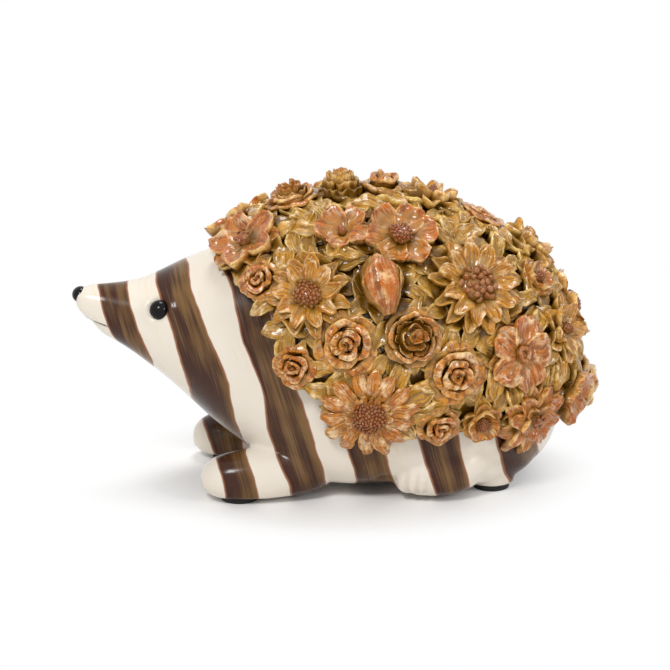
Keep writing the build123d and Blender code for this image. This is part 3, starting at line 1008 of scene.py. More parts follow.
@dataclass
class PetalSmith:
    """Makes single petals as thick, softly rounded relief."""

    thickness: float = 1.7 * MM
    thickness_share: float = 0.15
    floor: float = 0.2 * MM
    across: int = 6
    along: int = 8

    def petal(self, ring: Ring, radius: float, tint: float, rng: random.Random) -> Cast:
        """Make one petal of a ring, lying along X.

        Args:
            ring: The ring.
            radius: The flower's radius.
            tint: Hue from gold, 0, to amber, 1.
            rng: Source of small differences.

        Returns:
            The petal.
        """
        wide = ring.wrap > 0 or ring.width > 0.28
        obj = Bench.grid(self.across + (3 if wide else 0), self.along + (1 if wide else 0))
        sheet = Bench.points(obj.data)
        side, run = sheet[:, 0] * 2 - 1, sheet[:, 1]
        shape = self._cup if ring.wrap else self._blade
        Bench.put(obj.data, shape(ring, radius, side, run, rng))
        thin = min(self.thickness, radius * self.thickness_share)
        Bench.apply(obj, "SOLIDIFY", thickness=thin, offset=-1.0)
        if not ring.wrap:
            self._sink(obj.data, len(sheet))
        Bench.apply(obj, "SUBSURF", levels=1, render_levels=1)
        return Cast.take(obj, tint)

    def _sink(self, mesh: bpy.types.Mesh, count: int) -> None:
        """Draw a petal's underside down to the mantle, as a mould without undercuts does.

        Args:
            mesh: The thickened petal.
            count: How many vertices its top has.
        """
        points = Bench.points(mesh)
        top, under = points[:count], points[count:]
        under[:, 2] = np.minimum(under[:, 2], self.floor + 0.3 * (top[:, 2] - self.floor))
        under[:, 1] = top[:, 1] * 0.86
        root = top[:, 0].min()
        under[:, 0] = root + (top[:, 0] - root) * 0.95
        Bench.put(mesh, points)

    @staticmethod
    def _blade(ring: Ring, radius: float, side: np.ndarray, run: np.ndarray, rng: random.Random) -> np.ndarray:
        """Shape a petal that lies outwards.

        Args:
            ring: The ring.
            radius: The flower's radius.
            side: Place across, from -1 to 1.
            run: Place along, from 0 to 1.
            rng: Source of small differences.

        Returns:
            The petal's points.
        """
        if ring.tip is Tip.POINTED:
            swell = np.sin(np.pi * (0.12 + 0.86 * run**0.86)) ** 0.75
        else:
            swell = np.sin(np.pi * (0.15 + 0.60 * run**0.9)) ** 0.9
        reach = ring.end - ring.start
        out = ring.start + reach * run * rng.uniform(0.94, 1.03)
        if ring.tip is not Tip.POINTED:
            out = out - reach * 0.24 * side**2 * run**5
        if ring.tip is Tip.NOTCHED:
            out = out - reach * 0.09 * np.exp(-((side / 0.22) ** 2)) * run**4
        bend = rng.uniform(-0.06, 0.06)
        arch = np.sin(np.pi * run)
        high = ring.foot + (ring.top - ring.foot) * run**1.2 + ring.belly * arch + ring.curl * run**3
        high = high + ring.cup * np.abs(side) ** 2.2 * np.sin(np.pi * (0.12 + 0.8 * run))
        high = high - ring.crease * np.exp(-((side / 0.2) ** 2)) * np.sin(np.pi * (0.08 + 0.84 * run))
        high = high + 0.22 * np.cos(side * np.pi * 3.0) * arch + rng.uniform(-0.4, 0.6) * run
        width = ring.width * radius * swell * side
        return np.stack([out * radius, bend * radius * run**2 - width, high * MM], axis=1)

    @staticmethod
    def _cup(ring: Ring, radius: float, side: np.ndarray, run: np.ndarray, rng: random.Random) -> np.ndarray:
        """Shape a petal that wraps round the flower's middle.

        Args:
            ring: The ring.
            radius: The flower's radius.
            side: Place across, from -1 to 1.
            run: Place along, from 0 to 1.
            rng: Source of small differences.

        Returns:
            The petal's points.
        """
        angle = np.radians(ring.wrap) * 0.5 * side
        roll = np.clip((run - 0.5) / 0.5, 0.0, 1.0)
        crest = np.maximum(1.0 - side**2, 0.0) ** 0.8
        out = ring.start + (ring.end - ring.start) * run**1.4 + 0.05 * side - 0.05 * np.abs(side) ** 3
        out = out + ring.width * crest * roll**1.5
        rise = np.sin(np.pi * 0.5 * np.minimum(run * 1.35, 1.0))
        high = ring.foot + (ring.top - ring.foot) * rise - ring.curl * crest * roll**2
        high = high - (ring.top - ring.foot) * 0.30 * np.abs(side) ** 2.4 * run
        high = high + (0.3 * np.sin(side * 4.0 + rng.uniform(0, 6)) + rng.uniform(-0.5, 0.5)) * run
        out = out * radius
        return np.stack([out * np.cos(angle), -out * np.sin(angle), high * MM], axis=1)


@dataclass(frozen=True)
class Hand:
    """The unevenness of modelling by hand: a slow wobble that no two places share."""

    broad_wave: float = 820.0
    broad_depth: float = 0.42 * MM
    fine_wave: float = 1900.0
    fine_depth: float = 0.12 * MM
    starts: tuple[float, float, float] = (0.3, 1.7, 4.1)

    def work(self, points: np.ndarray) -> np.ndarray:
        """Move places a little.

        Args:
            points: Places, one to a row.

        Returns:
            The moved places.
        """
        broad = np.sin(points[:, [1, 2, 0]] * self.broad_wave + self.starts)
        fine = np.sin(points[:, [2, 0, 1]] * self.fine_wave + self.starts)
        return points + broad * self.broad_depth + fine * self.fine_depth


@dataclass
class FlowerShop:
    """Models each kind of flower once and sets copies of it on the mantle."""

    form: MantleForm
    hand: Hand = field(default_factory=Hand)
    petals: PetalSmith = field(default_factory=PetalSmith)
    seeds: random.Random = field(default_factory=lambda: random.Random(11))
    models: dict[str, Cast] = field(default_factory=dict)
    variants: int = 3
    stretch: dict[str, float] = field(default_factory=lambda: dict(STRETCH))

    def model(self, kind_name: str, radius: float) -> Cast:
        """Model one kind at a radius, standing on the origin.

        Args:
            kind_name: The kind's name.
            radius: The flower's radius.

        Returns:
            The model.
        """
        kind = KINDS[kind_name]
        parts: list[Cast] = []
        for ring in kind.rings:
            cuts = [self.petals.petal(ring, radius, kind.tint, self.seeds) for _ in range(self.variants)]
            for index in range(ring.count):
                turn = (index + ring.turn + self.seeds.uniform(-0.1, 0.1)) * math.tau / ring.count
                lean = math.radians(self.seeds.uniform(-5, 5)) * (0.0 if ring.wrap else 1.0)
                parts.append(cuts[index % self.variants].turned(turn, self.seeds.random(), lean))
        return Cast.merged(parts + self._heart(kind, radius))

    def _heart(self, kind: Kind, radius: float) -> list[Cast]:
        """Make what fills a flower's middle.

        Args:
            kind: The flower's build.
            radius: The flower's radius.

        Returns:
            The pieces.
        """
        wide, top = radius * kind.heart_radius, kind.heart_top * MM
        dome = Cast.take(Bench.bead(1.0, 3), kind.tint, 1.0)
        pieces = [dome.placed(dome.points * (wide * 0.95, wide * 0.95, top * 0.42) + (0.0, 0.0, top * 0.52))]
        ball = Cast.take(Bench.bead(1.0, 2), kind.tint, 1.0)
        if kind.heart in (Heart.BEADS, Heart.LUMPS):
            fine = kind.heart is Heart.BEADS
            count = (84 if wide > 6 * MM else 40) if fine else 22
            grain = wide * (0.92 if fine else 0.86) / math.sqrt(count)
            for index in range(count):
                out = wide * math.sqrt((index + 0.5) / count)
                turn = index * 2.399963
                rise = top * (0.52 + 0.42 * math.sqrt(max(0.0, 1 - (out / (wide * 1.02)) ** 2)))
                rise += 0.0 if fine else self.seeds.uniform(-0.3, 0.9) * MM
                spot = (out * math.cos(turn), out * math.sin(turn), rise)
                size = grain * self.seeds.uniform(0.85, 1.15)
                pieces.append(ball.placed(ball.points * (size, size, size * 1.3) + spot, self.seeds.random()))
        elif kind.heart is Heart.STAMENS:
            for index in range(6):
                pieces += self._stamen(ball, wide, index * math.tau / 6, top * self.seeds.uniform(0.85, 1.0))
        elif kind.heart is Heart.RING:
            bpy.ops.object.select_all(action="DESELECT")
            bpy.ops.mesh.primitive_torus_add(
                major_segments=28, minor_segments=12, major_radius=wide * 0.85, minor_radius=wide * 0.36,
                generate_uvs=True, location=(0, 0, 0),
            )
            ring = Cast.take(bpy.context.object, kind.tint, 0.6)
            pieces.append(ring.placed(ring.points + (0.0, 0.0, top * 0.92)))
        return pieces

    @staticmethod
    def _stamen(ball: Cast, out: float, turn: float, top: float) -> list[Cast]:
        """Make one stamen with its bead.

        Args:
            ball: The bead's shape.
            out: Distance of its end from the axis.
            turn: Bearing in radians.
            top: Height of its end.

        Returns:
            The stalk and the bead.
        """
        end = Vector((out * math.cos(turn), out * math.sin(turn), top))
        start = Vector((end.x * 0.2, end.y * 0.2, top * 0.3))
        bpy.ops.object.select_all(action="DESELECT")
        bpy.ops.mesh.primitive_cone_add(vertices=10, radius1=0.8 * MM, radius2=0.45 * MM, depth=(end - start).length)
        stalk = bpy.context.object
        lean = (end - start).to_track_quat("Z", "Y").to_matrix().to_4x4()
        stalk.data.transform(Matrix.Translation((start + end) / 2) @ lean)
        return [Cast.take(stalk, 0.5, 0.3), ball.placed(ball.points * 0.85 * MM + np.array(end))]

    def bud(self, length: float, radius: float, high: float) -> Cast:
        """Model a closed bud that lies along X.

        Args:
            length: The bud's length.
            radius: The bud's radius.
            high: Height of its axis.

        Returns:
            The model.
        """
        parts: list[Cast] = []
        for layer, (swell, wrap) in enumerate(((0.88, 200.0), (0.95, 150.0), (1.03, 120.0))):
            for index in range(3):
                obj = Bench.grid(9, 11)
                sheet = Bench.points(obj.data)
                side, run = sheet[:, 0] * 2 - 1, sheet[:, 1]
                taper = np.sin(np.pi * (0.05 + 0.88 * run**1.2)) ** 0.8 * (0.94 + 0.12 * run)
                close = 1.0 - 1.1 * np.maximum(run - 0.45, 0.0) ** 1.5
                angle = np.radians(wrap) * 0.5 * side * close + (index + layer * 0.5) * math.tau / 3
                out = radius * swell * taper * (1.0 + 0.05 * side)
                out = out - radius * 0.09 * np.exp(-((side / 0.16) ** 2)) + radius * 0.03 * np.cos(side * 15)
                reach = length * (run * (1.0 - 0.07 * side**2 * run) - 0.5)
                Bench.put(obj.data, np.stack([reach, out * np.sin(angle), out * np.cos(angle) + high], axis=1))
                Bench.apply(obj, "SOLIDIFY", thickness=1.1 * MM, offset=-1.0)
                Bench.apply(obj, "SUBSURF", levels=1, render_levels=1)
                cut = Cast.take(obj, 1.0)
                parts.append(cut.placed(cut.points, self.seeds.random()))
        core = Cast.take(Bench.bead(1.0, 3), 1.0)
        parts.append(core.placed(core.points * (length * 0.42, radius * 0.8, radius * 0.8) + (0.0, 0.0, high)))
        return Cast.merged(parts)

    def set_out(self, node: str, solid: bpy.types.Object, finish: bpy.types.Material) -> bpy.types.Object:
        """Set a copy of the right flower where a packed flower stands.

        Args:
            node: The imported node's name.
            solid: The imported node.
            finish: The flowers' material.

        Returns:
            The new piece.
        """
        seat = Seat.read(Bench.points(solid.data), self.form)
        kind_name = RECUT.get(node) or next(part for part in node.split("_") if part in KINDS or part == "tulip")
        bud = kind_name == "tulip"
        if kind_name not in self.models:
            self.models[kind_name] = (
                self.bud(seat.radius * 2.2, seat.radius * 0.68, 6.6 * MM)
                if bud
                else self.model(kind_name, seat.radius * KINDS[kind_name].grow)
            )
        cast = self.models[kind_name]
        spin = 0.0 if bud else self.seeds.uniform(0.0, math.tau)
        tall = cast.points * (1.0, 1.0, self.stretch.get(node, 1.0))
        places = seat.spread(tall, spin, self.form, 0.6 if bud else KINDS[kind_name].hug)
        piece = cast.placed(self.hand.work(places)).pour(node + "_flower", finish)
        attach(piece, "root")
        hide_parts(node)
        return piece


@dataclass
class LeafBed:
    """Folded leaves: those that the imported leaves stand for, and lower ones that fill the ground."""

    form: MantleForm
    flowers: Sequence[Seat]
    hand: Hand = field(default_factory=Hand)
    grow: float = 1.22
    thickness: float = 1.4 * MM
    floor: float = 0.2 * MM
    tuck: float = 2.6 * MM
    tuck_inner: float = 0.75
    tuck_outer: float = 1.10
    kinds: int = 8
    seeds: random.Random = field(default_factory=lambda: random.Random(5))
    cuts: list[Cast] = field(default_factory=list)
    plain_cuts: list[Cast] = field(default_factory=list)

    def __post_init__(self) -> None:
        """Model the leaves that are repeated."""
        for _ in range(self.kinds):
            full, plain = self.leaf()
            self.cuts.append(full)
            self.plain_cuts.append(plain)

    def leaf(self) -> tuple[Cast, Cast]:
        """Model one leaf a unit long, along X about its middle, with heights in metres.

        Returns:
            The leaf with a rounded rim, and a plainer one with fewer faces for the ground.
        """
        obj = Bench.grid(6, 9)
        sheet = Bench.points(obj.data)
        side, run = sheet[:, 0] * 2 - 1, sheet[:, 1]
        swell = np.sin(np.pi * (0.09 + 0.89 * run**0.82)) ** 0.85
        curl = self.seeds.uniform(0.6, 2.8)
        fold = self.seeds.uniform(1.6, 2.6)
        high = 1.6 + fold * np.abs(side) ** 1.1 * swell + curl * run**1.6 + 1.1 * np.sin(np.pi * run)
        high = high + 0.26 * np.cos((run * 4.5 + np.abs(side) * 0.8) * math.tau) * np.abs(side)
        sway = self.seeds.uniform(-0.14, 0.14) * run**2
        width = self.seeds.uniform(0.23, 0.29)
        flat = 20 * MM
        shaped = np.stack([flat * (run - 0.5), flat * (sway - width * swell * side), high * MM], axis=1)
        Bench.put(obj.data, shaped)
        Bench.apply(obj, "SOLIDIFY", thickness=self.thickness, offset=-1.0)
        points = Bench.points(obj.data)
        top, under = points[: len(sheet)], points[len(sheet) :]
        under[:, 2] = np.minimum(under[:, 2], self.floor + 0.3 * (top[:, 2] - self.floor))
        under[:, :2] = top[:, :2] * 0.9
        Bench.put(obj.data, points)
        plain = Cast.take(Bench.copy(obj))
        Bench.apply(obj, "SUBSURF", levels=1, render_levels=1)
        full = Cast.take(obj)
        scale = (flat, flat, 1.0)
        return full.placed(full.points / scale), plain.placed(plain.points / scale)

    def lay(self, seat: Seat, length: float, spin: float, lift: float, ground: bool = False) -> Cast:
        """Lay one leaf on the mantle.

        Args:
            seat: Where it lies.
            length: The leaf's length.
            spin: Turn about the seat's axis, in radians.
            lift: How high it stands, 1 being as modelled.
            ground: Whether it is one of the plainer leaves that fill the ground.

        Returns:
            The leaf.
        """
        cut = (self.plain_cuts if ground else self.cuts)[self.seeds.randrange(self.kinds)]
        places = self._tucked(seat.spread(cut.points * (length, length, lift), spin, self.form, 0.9))
        leaf = cut.placed(self.hand.work(places), self.seeds.random())
        leaf.notes["tint"] = np.full(len(places), self.seeds.uniform(0.0, 0.6))
        return leaf

    def _tucked(self, places: np.ndarray) -> np.ndarray:
        """Press a leaf down where it runs under a flower.

        Args:
            places: The leaf's points.

        Returns:
            The points, lower under the flowers.
        """
        gap = np.min([np.linalg.norm(places - seat.origin, axis=1) / seat.radius for seat in self.flowers], axis=0)
        clear = np.clip((gap - self.tuck_inner) / (self.tuck_outer - self.tuck_inner), 0.0, 1.0)
        heights = self.form.height(places)
        low = self.tuck * (1.0 - np.exp(-np.maximum(heights, 0.0) / self.tuck))
        sink = (np.minimum(low, heights) - heights) * (1.0 - clear)
        return places + self.form.outward(places) * sink[:, None]

    def islands(self, solid: bpy.types.Object) -> list[np.ndarray]:
        """Vertices of each separate solid in a packed group.

        Args:
            solid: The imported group.

        Returns:
            One array of vertices for each solid.
        """
        work = bmesh.new()
        work.from_mesh(solid.data)
        bmesh.ops.remove_doubles(work, verts=work.verts, dist=0.002 * MM)
        work.verts.ensure_lookup_table()
        seen: set[int] = set()
        groups: list[np.ndarray] = []
        for first in work.verts:
            if first.index in seen:
                continue
            seen.add(first.index)
            stack, found = [first], []
            while stack:
                vert = stack.pop()
                found.append(tuple(vert.co))
                for edge in vert.link_edges:
                    other = edge.other_vert(vert)
                    if other.index not in seen:
                        seen.add(other.index)
                        stack.append(other)
            groups.append(np.array(found))
        work.free()
        return groups

    def set_out(self, node: str, solid: bpy.types.Object, finish: bpy.types.Material) -> bpy.types.Object:
        """Set leaves where a packed group's leaves lie.

        Args:
            node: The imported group's name.
            solid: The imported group.
            finish: The leaves' material.

        Returns:
            The new piece.
        """
        leaves: list[Cast] = []
        for points in self.islands(solid):
            seat = Seat.read(points, self.form)
            length = seat.radius * 2 * self.grow * self.seeds.uniform(0.95, 1.15)
            spin = (0.0 if self.seeds.random() < 0.5 else math.pi) + self.seeds.uniform(-0.3, 0.3)
            leaves.append(self.lay(seat, length, spin, self.seeds.uniform(1.0, 1.5)))
        piece = Cast.merged(leaves).pour(node + "_bed", finish)
        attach(piece, "root")
        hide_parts(node)
        return piece


@dataclass
class Ground:
    """The mantle under the flowers, with lower leaves that fill the gaps."""

    form: MantleForm
    bed: LeafBed
    spacing: float = 7.0 * MM
    clear_share: float = 0.6
    seeds: random.Random = field(default_factory=lambda: random.Random(23))

    def build(
        self, solid: bpy.types.Object, seats: Sequence[Seat], finish: bpy.types.Material
    ) -> bpy.types.Object:
        """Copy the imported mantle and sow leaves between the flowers.

        Args:
            solid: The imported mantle.
            seats: The flowers' seats.
            finish: Material of the leaves and the ground.

        Returns:
            The new piece.
        """
        mantle = Bench.copy(solid)
        Bench.only(mantle)
        bpy.ops.object.mode_set(mode="EDIT")
        bpy.ops.mesh.select_all(action="SELECT")
        bpy.ops.mesh.remove_doubles(threshold=0.005 * MM)
        bpy.ops.object.mode_set(mode="OBJECT")
        Bench.apply(mantle, "REMESH", mode="VOXEL", voxel_size=1.6 * MM)
        skin = Bench.points(mantle.data)
        outer = skin[np.abs(self.form.level(skin) - 1.0) < 0.012]
        pieces = [Cast.take(mantle, 0.2)]
        origins = np.array([seat.origin for seat in seats])
        radii = np.array([seat.radius for seat in seats])
        taken = np.empty((0, 3))
        order = list(range(len(outer)))
        self.seeds.shuffle(order)
        for index in order:
            spot = outer[index]
            away = np.linalg.norm(origins - spot, axis=1)
            if (away < radii * self.clear_share).any():
                continue
            if len(taken) and np.linalg.norm(taken - spot, axis=1).min() < self.spacing:
                continue
            taken = np.vstack([taken, spot])
            base = self.form.drop(spot[None, :])
            axis = self.form.outward(base)[0]
            lead = base[0] - origins[int(np.argmin(away / radii))]
            lead = lead - axis * (lead @ axis)
            seat = Seat(base[0], axis, lead / np.linalg.norm(lead), self.spacing)
            length = self.seeds.uniform(12.0, 16.0) * MM
            spin, lift = self.seeds.uniform(-0.8, 0.8), self.seeds.uniform(0.75, 1.15)
            pieces.append(self.bed.lay(seat, length, spin, lift, ground=True))
        piece = Cast.merged(pieces).pour("flower_mantle_ground", finish)
        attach(piece, "root")
        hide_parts("flower_mantle")
        return piece


@dataclass
class Relief:
    """Marks how deep each vertex lies below the relief around it, where the petal material paints the dark glaze and
    painted shade.
    """

    form: MantleForm
    rows: int = 230
    columns: int = 380
    reach: int = 2
    depth: float = 7.0 * MM

    def _cells(self, points: np.ndarray) -> tuple[np.ndarray, np.ndarray]:
        """Find the map cell of each place.

        Args:
            points: Places, one to a row.

        Returns:
            Row and column of each place.
        """
        local = (points - np.array(self.form.centre)) @ self.form.axes().T / np.array(self.form.half)
        local = local / np.linalg.norm(local, axis=1)[:, None]
        row = np.arccos(np.clip(local[:, 0], -1, 1)) / math.pi * (self.rows - 1)
        column = (np.arctan2(local[:, 1], local[:, 2]) / math.tau + 0.5) * (self.columns - 1)
        return row.astype(int), column.astype(int)

    def _spread(self, crest: np.ndarray, highest: bool) -> np.ndarray:
        """Carry each cell's height to the cells around it.

        Args:
            crest: The map.
            highest: Whether the highest neighbour is taken, or else the mean.

        Returns:
            The new map.
        """
        steps = range(-self.reach, self.reach + 1)
        for axis in (0, 1):
            layers = [np.roll(crest, step, axis=axis) for step in steps]
            crest = np.max(layers, axis=0) if highest else np.mean(layers, axis=0)
        return crest

    def mark(self, pieces: Sequence[bpy.types.Object]) -> None:
        """Give every piece its hollow attribute.

        Args:
            pieces: The flowers, leaves and ground.
        """
        crest = np.zeros((self.rows, self.columns))
        found = []
        for piece in pieces:
            points = Bench.points(piece.data)
            heights = self.form.height(points)
            row, column = self._cells(points)
            np.maximum.at(crest, (row, column), heights)
            found.append((piece, heights, row, column))
        crest = self._spread(self._spread(crest, True), False)
        for piece, heights, row, column in found:
            Bench.note(piece.data, "hollow", np.clip((crest[row, column] - heights) / self.depth, 0.0, 1.0))


@dataclass
class Casting:
    """The glazed body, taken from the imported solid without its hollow."""

    grain: float = 1.05 * MM
    vent: tuple[float, float] = (16.0 * MM, 0.0)
    vent_reach: float = 2.9 * MM
    vent_top: float = 10.0 * MM
    rounds: int = 10
    heel: tuple[float, float, float] = (66.0 * MM, 25.0 * MM, 12.0 * MM)
    heel_half: tuple[float, float, float] = (26.0 * MM, 11.5 * MM, 9.2 * MM)
    heel_yaw: float = 37.0
    foot: tuple[float, float] = (34.0 * MM, 38.5 * MM)
    toe_lines: tuple[float, ...] = (8.0, 38.0, 66.0, 92.0)
    toe_width: float = 1.1 * MM
    toe_depth: float = 1.5 * MM
    toe_top: float = 18.0 * MM

    def build(self, solid: bpy.types.Object, finish: bpy.types.Material) -> bpy.types.Object:
        """Make the body.

        Args:
            solid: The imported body.
            finish: The painted glaze.

        Returns:
            The new piece.
        """
        body = Bench.copy(solid)
        body.name = "body_casting"
        body.data.name = "body_casting"
        self._skin(body)
        Bench.apply(body, "REMESH", mode="VOXEL", voxel_size=self.grain)
        Bench.apply(body, "SMOOTH", factor=0.5, iterations=self.rounds)
        self._details(body)
        Bench.smooth(body)
        body.data.materials.clear()
        body.data.materials.append(finish)
        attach(body, "root")
        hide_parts("body_shell")
        return body

    def _skin(self, body: bpy.types.Object) -> None:
        """Keep only the outside of the casting and close its vent.

        Args:
            body: The copied body.
        """
        work = bmesh.new()
        work.from_mesh(body.data)
        bmesh.ops.remove_doubles(work, verts=work.verts, dist=0.004 * MM)
        tunnel = [
            face for face in work.faces
            if math.hypot(face.calc_center_median().x - self.vent[0], face.calc_center_median().y - self.vent[1])
            < self.vent_reach and face.calc_center_median().z < self.vent_top
        ]
        bmesh.ops.delete(work, geom=tunnel, context="FACES")
        work.verts.ensure_lookup_table()
        lowest = min(work.verts, key=lambda vert: vert.co.x)
        seen, stack = {lowest}, [lowest]
        while stack:
            vert = stack.pop()
            for edge in vert.link_edges:
                other = edge.other_vert(vert)
                if other not in seen:
                    seen.add(other)
                    stack.append(other)
        bmesh.ops.delete(work, geom=[vert for vert in work.verts if vert not in seen], context="VERTS")
        rim = [edge for edge in work.edges if edge.is_boundary]
        bmesh.ops.holes_fill(work, edges=rim, sides=0)
        bmesh.ops.recalc_face_normals(work, faces=work.faces)
        for sign in (-1.0, 1.0):
            x, y, z = self.heel
            place = Matrix.Translation((x, sign * y, z))
            turn = Matrix.Rotation(-sign * math.radians(self.heel_yaw), 4, "Z")
            swell = Matrix.Diagonal((*self.heel_half, 1.0))
            bmesh.ops.create_uvsphere(
                work, u_segments=48, v_segments=24, radius=1.0, matrix=place @ turn @ swell
            )
        work.to_mesh(body.data)
        work.free()

    def _details(self, body: bpy.types.Object) -> None:
        """Draw the snout out to the nose, cut the mouth, press toe lines and raise the eye rims.

        Args:
            body: The body.
        """
        mesh = body.data
        points = Bench.points(mesh)
        normals = np.empty(len(mesh.vertices) * 3)
        mesh.vertices.foreach_get("normal", normals)
        normals = normals.reshape(-1, 3)
        x, y, z = points[:, 0], points[:, 1], points[:, 2]
        shift = np.zeros(len(points))
        outward, ahead = np.abs(y) - self.foot[1], self.foot[0] - x
        reach = np.hypot(outward, ahead)
        bearing = np.arctan2(outward, ahead)
        low = self._ease(z, self.toe_top, self.toe_top / 2) * self._ease(reach, 4 * MM, 8 * MM)
        low = low * (reach < 20 * MM) * (ahead > -6 * MM)
        for line in self.toe_lines:
            away = (bearing - math.radians(line)) * reach
            shift -= self.toe_depth * low * np.exp(-((away / self.toe_width) ** 2))
        for eye in ("left_eye", "right_eye"):
            low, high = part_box(eye)
            gap = np.linalg.norm(points - (np.array(low) + np.array(high)) / 2, axis=1)
            shift += 0.8 * MM * np.exp(-(((gap - 6.0 * MM) / (1.6 * MM)) ** 2))
        front = self._ease(x, -98 * MM, -106 * MM)
        lip = z + (x + 108.4 * MM) * MouthLine.slope - MouthLine.height
        jaw = self._ease(lip, 0.1 * MM, -0.9 * MM) * front
        shift -= 1.4 * MM * jaw * self._ease(lip, -9 * MM, -3 * MM)
        moved = points + normals * shift[:, None]
        forward = self._ease(z, 74 * MM, 83 * MM) * (1.0 - self._ease(z, 86.5 * MM, 91 * MM))
        moved[:, 0] -= 3.2 * MM * forward * self._ease(x, -100 * MM, -108.5 * MM)
        Bench.put(mesh, moved)

    @staticmethod
    def _ease(values: np.ndarray, low: float, high: float) -> np.ndarray:
        """Ease from 0 at low to 1 at high.

        Args:
            values: The values.
            low: Where the result leaves 0.
            high: Where the result reaches 1.

        Returns:
            The eased values.
        """
        share = np.clip((values - low) / (high - low), 0.0, 1.0)
        return share * share * (3.0 - 2.0 * share)


@dataclass
class SmallPieces:
    """Eyes, nose, pads and plug."""

    nodes: dict[str, bpy.types.Object]
    black: bpy.types.Material
    rubber: bpy.types.Material
    plug: bpy.types.Material
    eye_lean: float = 26.0
    eye_rise: float = 24.0
    eye_half: Triple = (4.3 * MM, 4.3 * MM, 3.6 * MM)
    eye_proud: float = 0.3 * MM
    nose_half: Triple = (3.7 * MM, 4.2 * MM, 3.5 * MM)
    nose_rise: float = 1.2 * MM

    def _finish(self, obj: bpy.types.Object, node: str, material: bpy.types.Material) -> bpy.types.Object:
        """Smooth, paint and register a piece.

        Args:
            obj: The piece.
            node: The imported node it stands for.
            material: The material.

        Returns:
            The piece.
        """
        obj.name = node + "_piece"
        obj.data.name = obj.name
        Bench.only(obj)
        bpy.ops.object.shade_smooth_by_angle(angle=math.radians(40))
        obj.data.materials.clear()
        obj.data.materials.append(material)
        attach(obj, "root")
        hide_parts(node)
        return obj

    def eye(self, node: str) -> bpy.types.Object:
        """Make an eye bead.

        Args:
            node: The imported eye's name.

        Returns:
            The piece.
        """
        points = Bench.points(self.nodes[node].data)
        lean, rise = math.radians(self.eye_lean), math.radians(self.eye_rise)
        aim = np.array([-math.sin(lean) * math.cos(rise), math.cos(lean) * math.cos(rise), math.sin(rise)])
        aim[1] = math.copysign(aim[1], points[:, 1].mean())
        apex = points[int(np.argmax(points @ aim))]
        ball = Bench.bead(1.0, 4)
        wide, tall, deep = self.eye_half
        ball.data.transform(Matrix.Diagonal((wide, tall, deep, 1.0)))
        turn = Vector(aim).to_track_quat("Z", "Y").to_matrix().to_4x4()
        ball.data.transform(Matrix.Translation(Vector(apex - aim * (deep - self.eye_proud))) @ turn)
        return self._finish(ball, node, self.black)

    def nose(self) -> bpy.types.Object:
        """Make the nose button.

        Returns:
            The piece.
        """
        low, high = (np.array(corner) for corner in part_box("nose"))
        long, wide, tall = self.nose_half
        ball = Bench.bead(1.0, 4)
        ball.data.transform(Matrix.Diagonal((long, wide, tall, 1.0)))
        ball.data.transform(Matrix.Rotation(math.radians(-24), 4, "Y"))
        ball.data.transform(Matrix.Translation((low[0] + long, 0.0, (low[2] + high[2]) / 2 + self.nose_rise)))
        return self._finish(ball, "nose", self.black)

    def disc(self, node: str, material: bpy.types.Material, edge: float) -> bpy.types.Object:
        """Make a round pad or plug with a soft edge.

        Args:
            node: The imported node's name.
            material: The material.
            edge: Radius of the soft edge.

        Returns:
            The piece.
        """
        low, high = (np.array(corner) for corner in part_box(node))
        middle = (low + high) / 2
        bpy.ops.object.select_all(action="DESELECT")
        bpy.ops.mesh.primitive_cylinder_add(
            vertices=64, radius=(high[0] - low[0]) / 2, depth=high[2] - low[2], location=(0, 0, 0)
        )
        obj = bpy.context.object
        obj.data.transform(Matrix.Translation(Vector(middle)))
        Bench.apply(obj, "BEVEL", width=edge, segments=3, limit_method="ANGLE")
        return self._finish(obj, node, material)

    def build(self) -> list[bpy.types.Object]:
        """Make all the small pieces.

        Returns:
            The pieces.
        """
        made = [self.eye("left_eye"), self.eye("right_eye"), self.nose()]
        pads = sorted(node for node in self.nodes if node.endswith("_pad"))
        made += [self.disc(node, self.rubber, 0.6 * MM) for node in pads]
        made.append(self.disc("vent_plug", self.plug, 0.25 * MM))
        return made


@dataclass(frozen=True)
class Lamp:
    """A soft square light."""

    name: str
    place: Triple
    aim: Triple
    size: float
    power: float


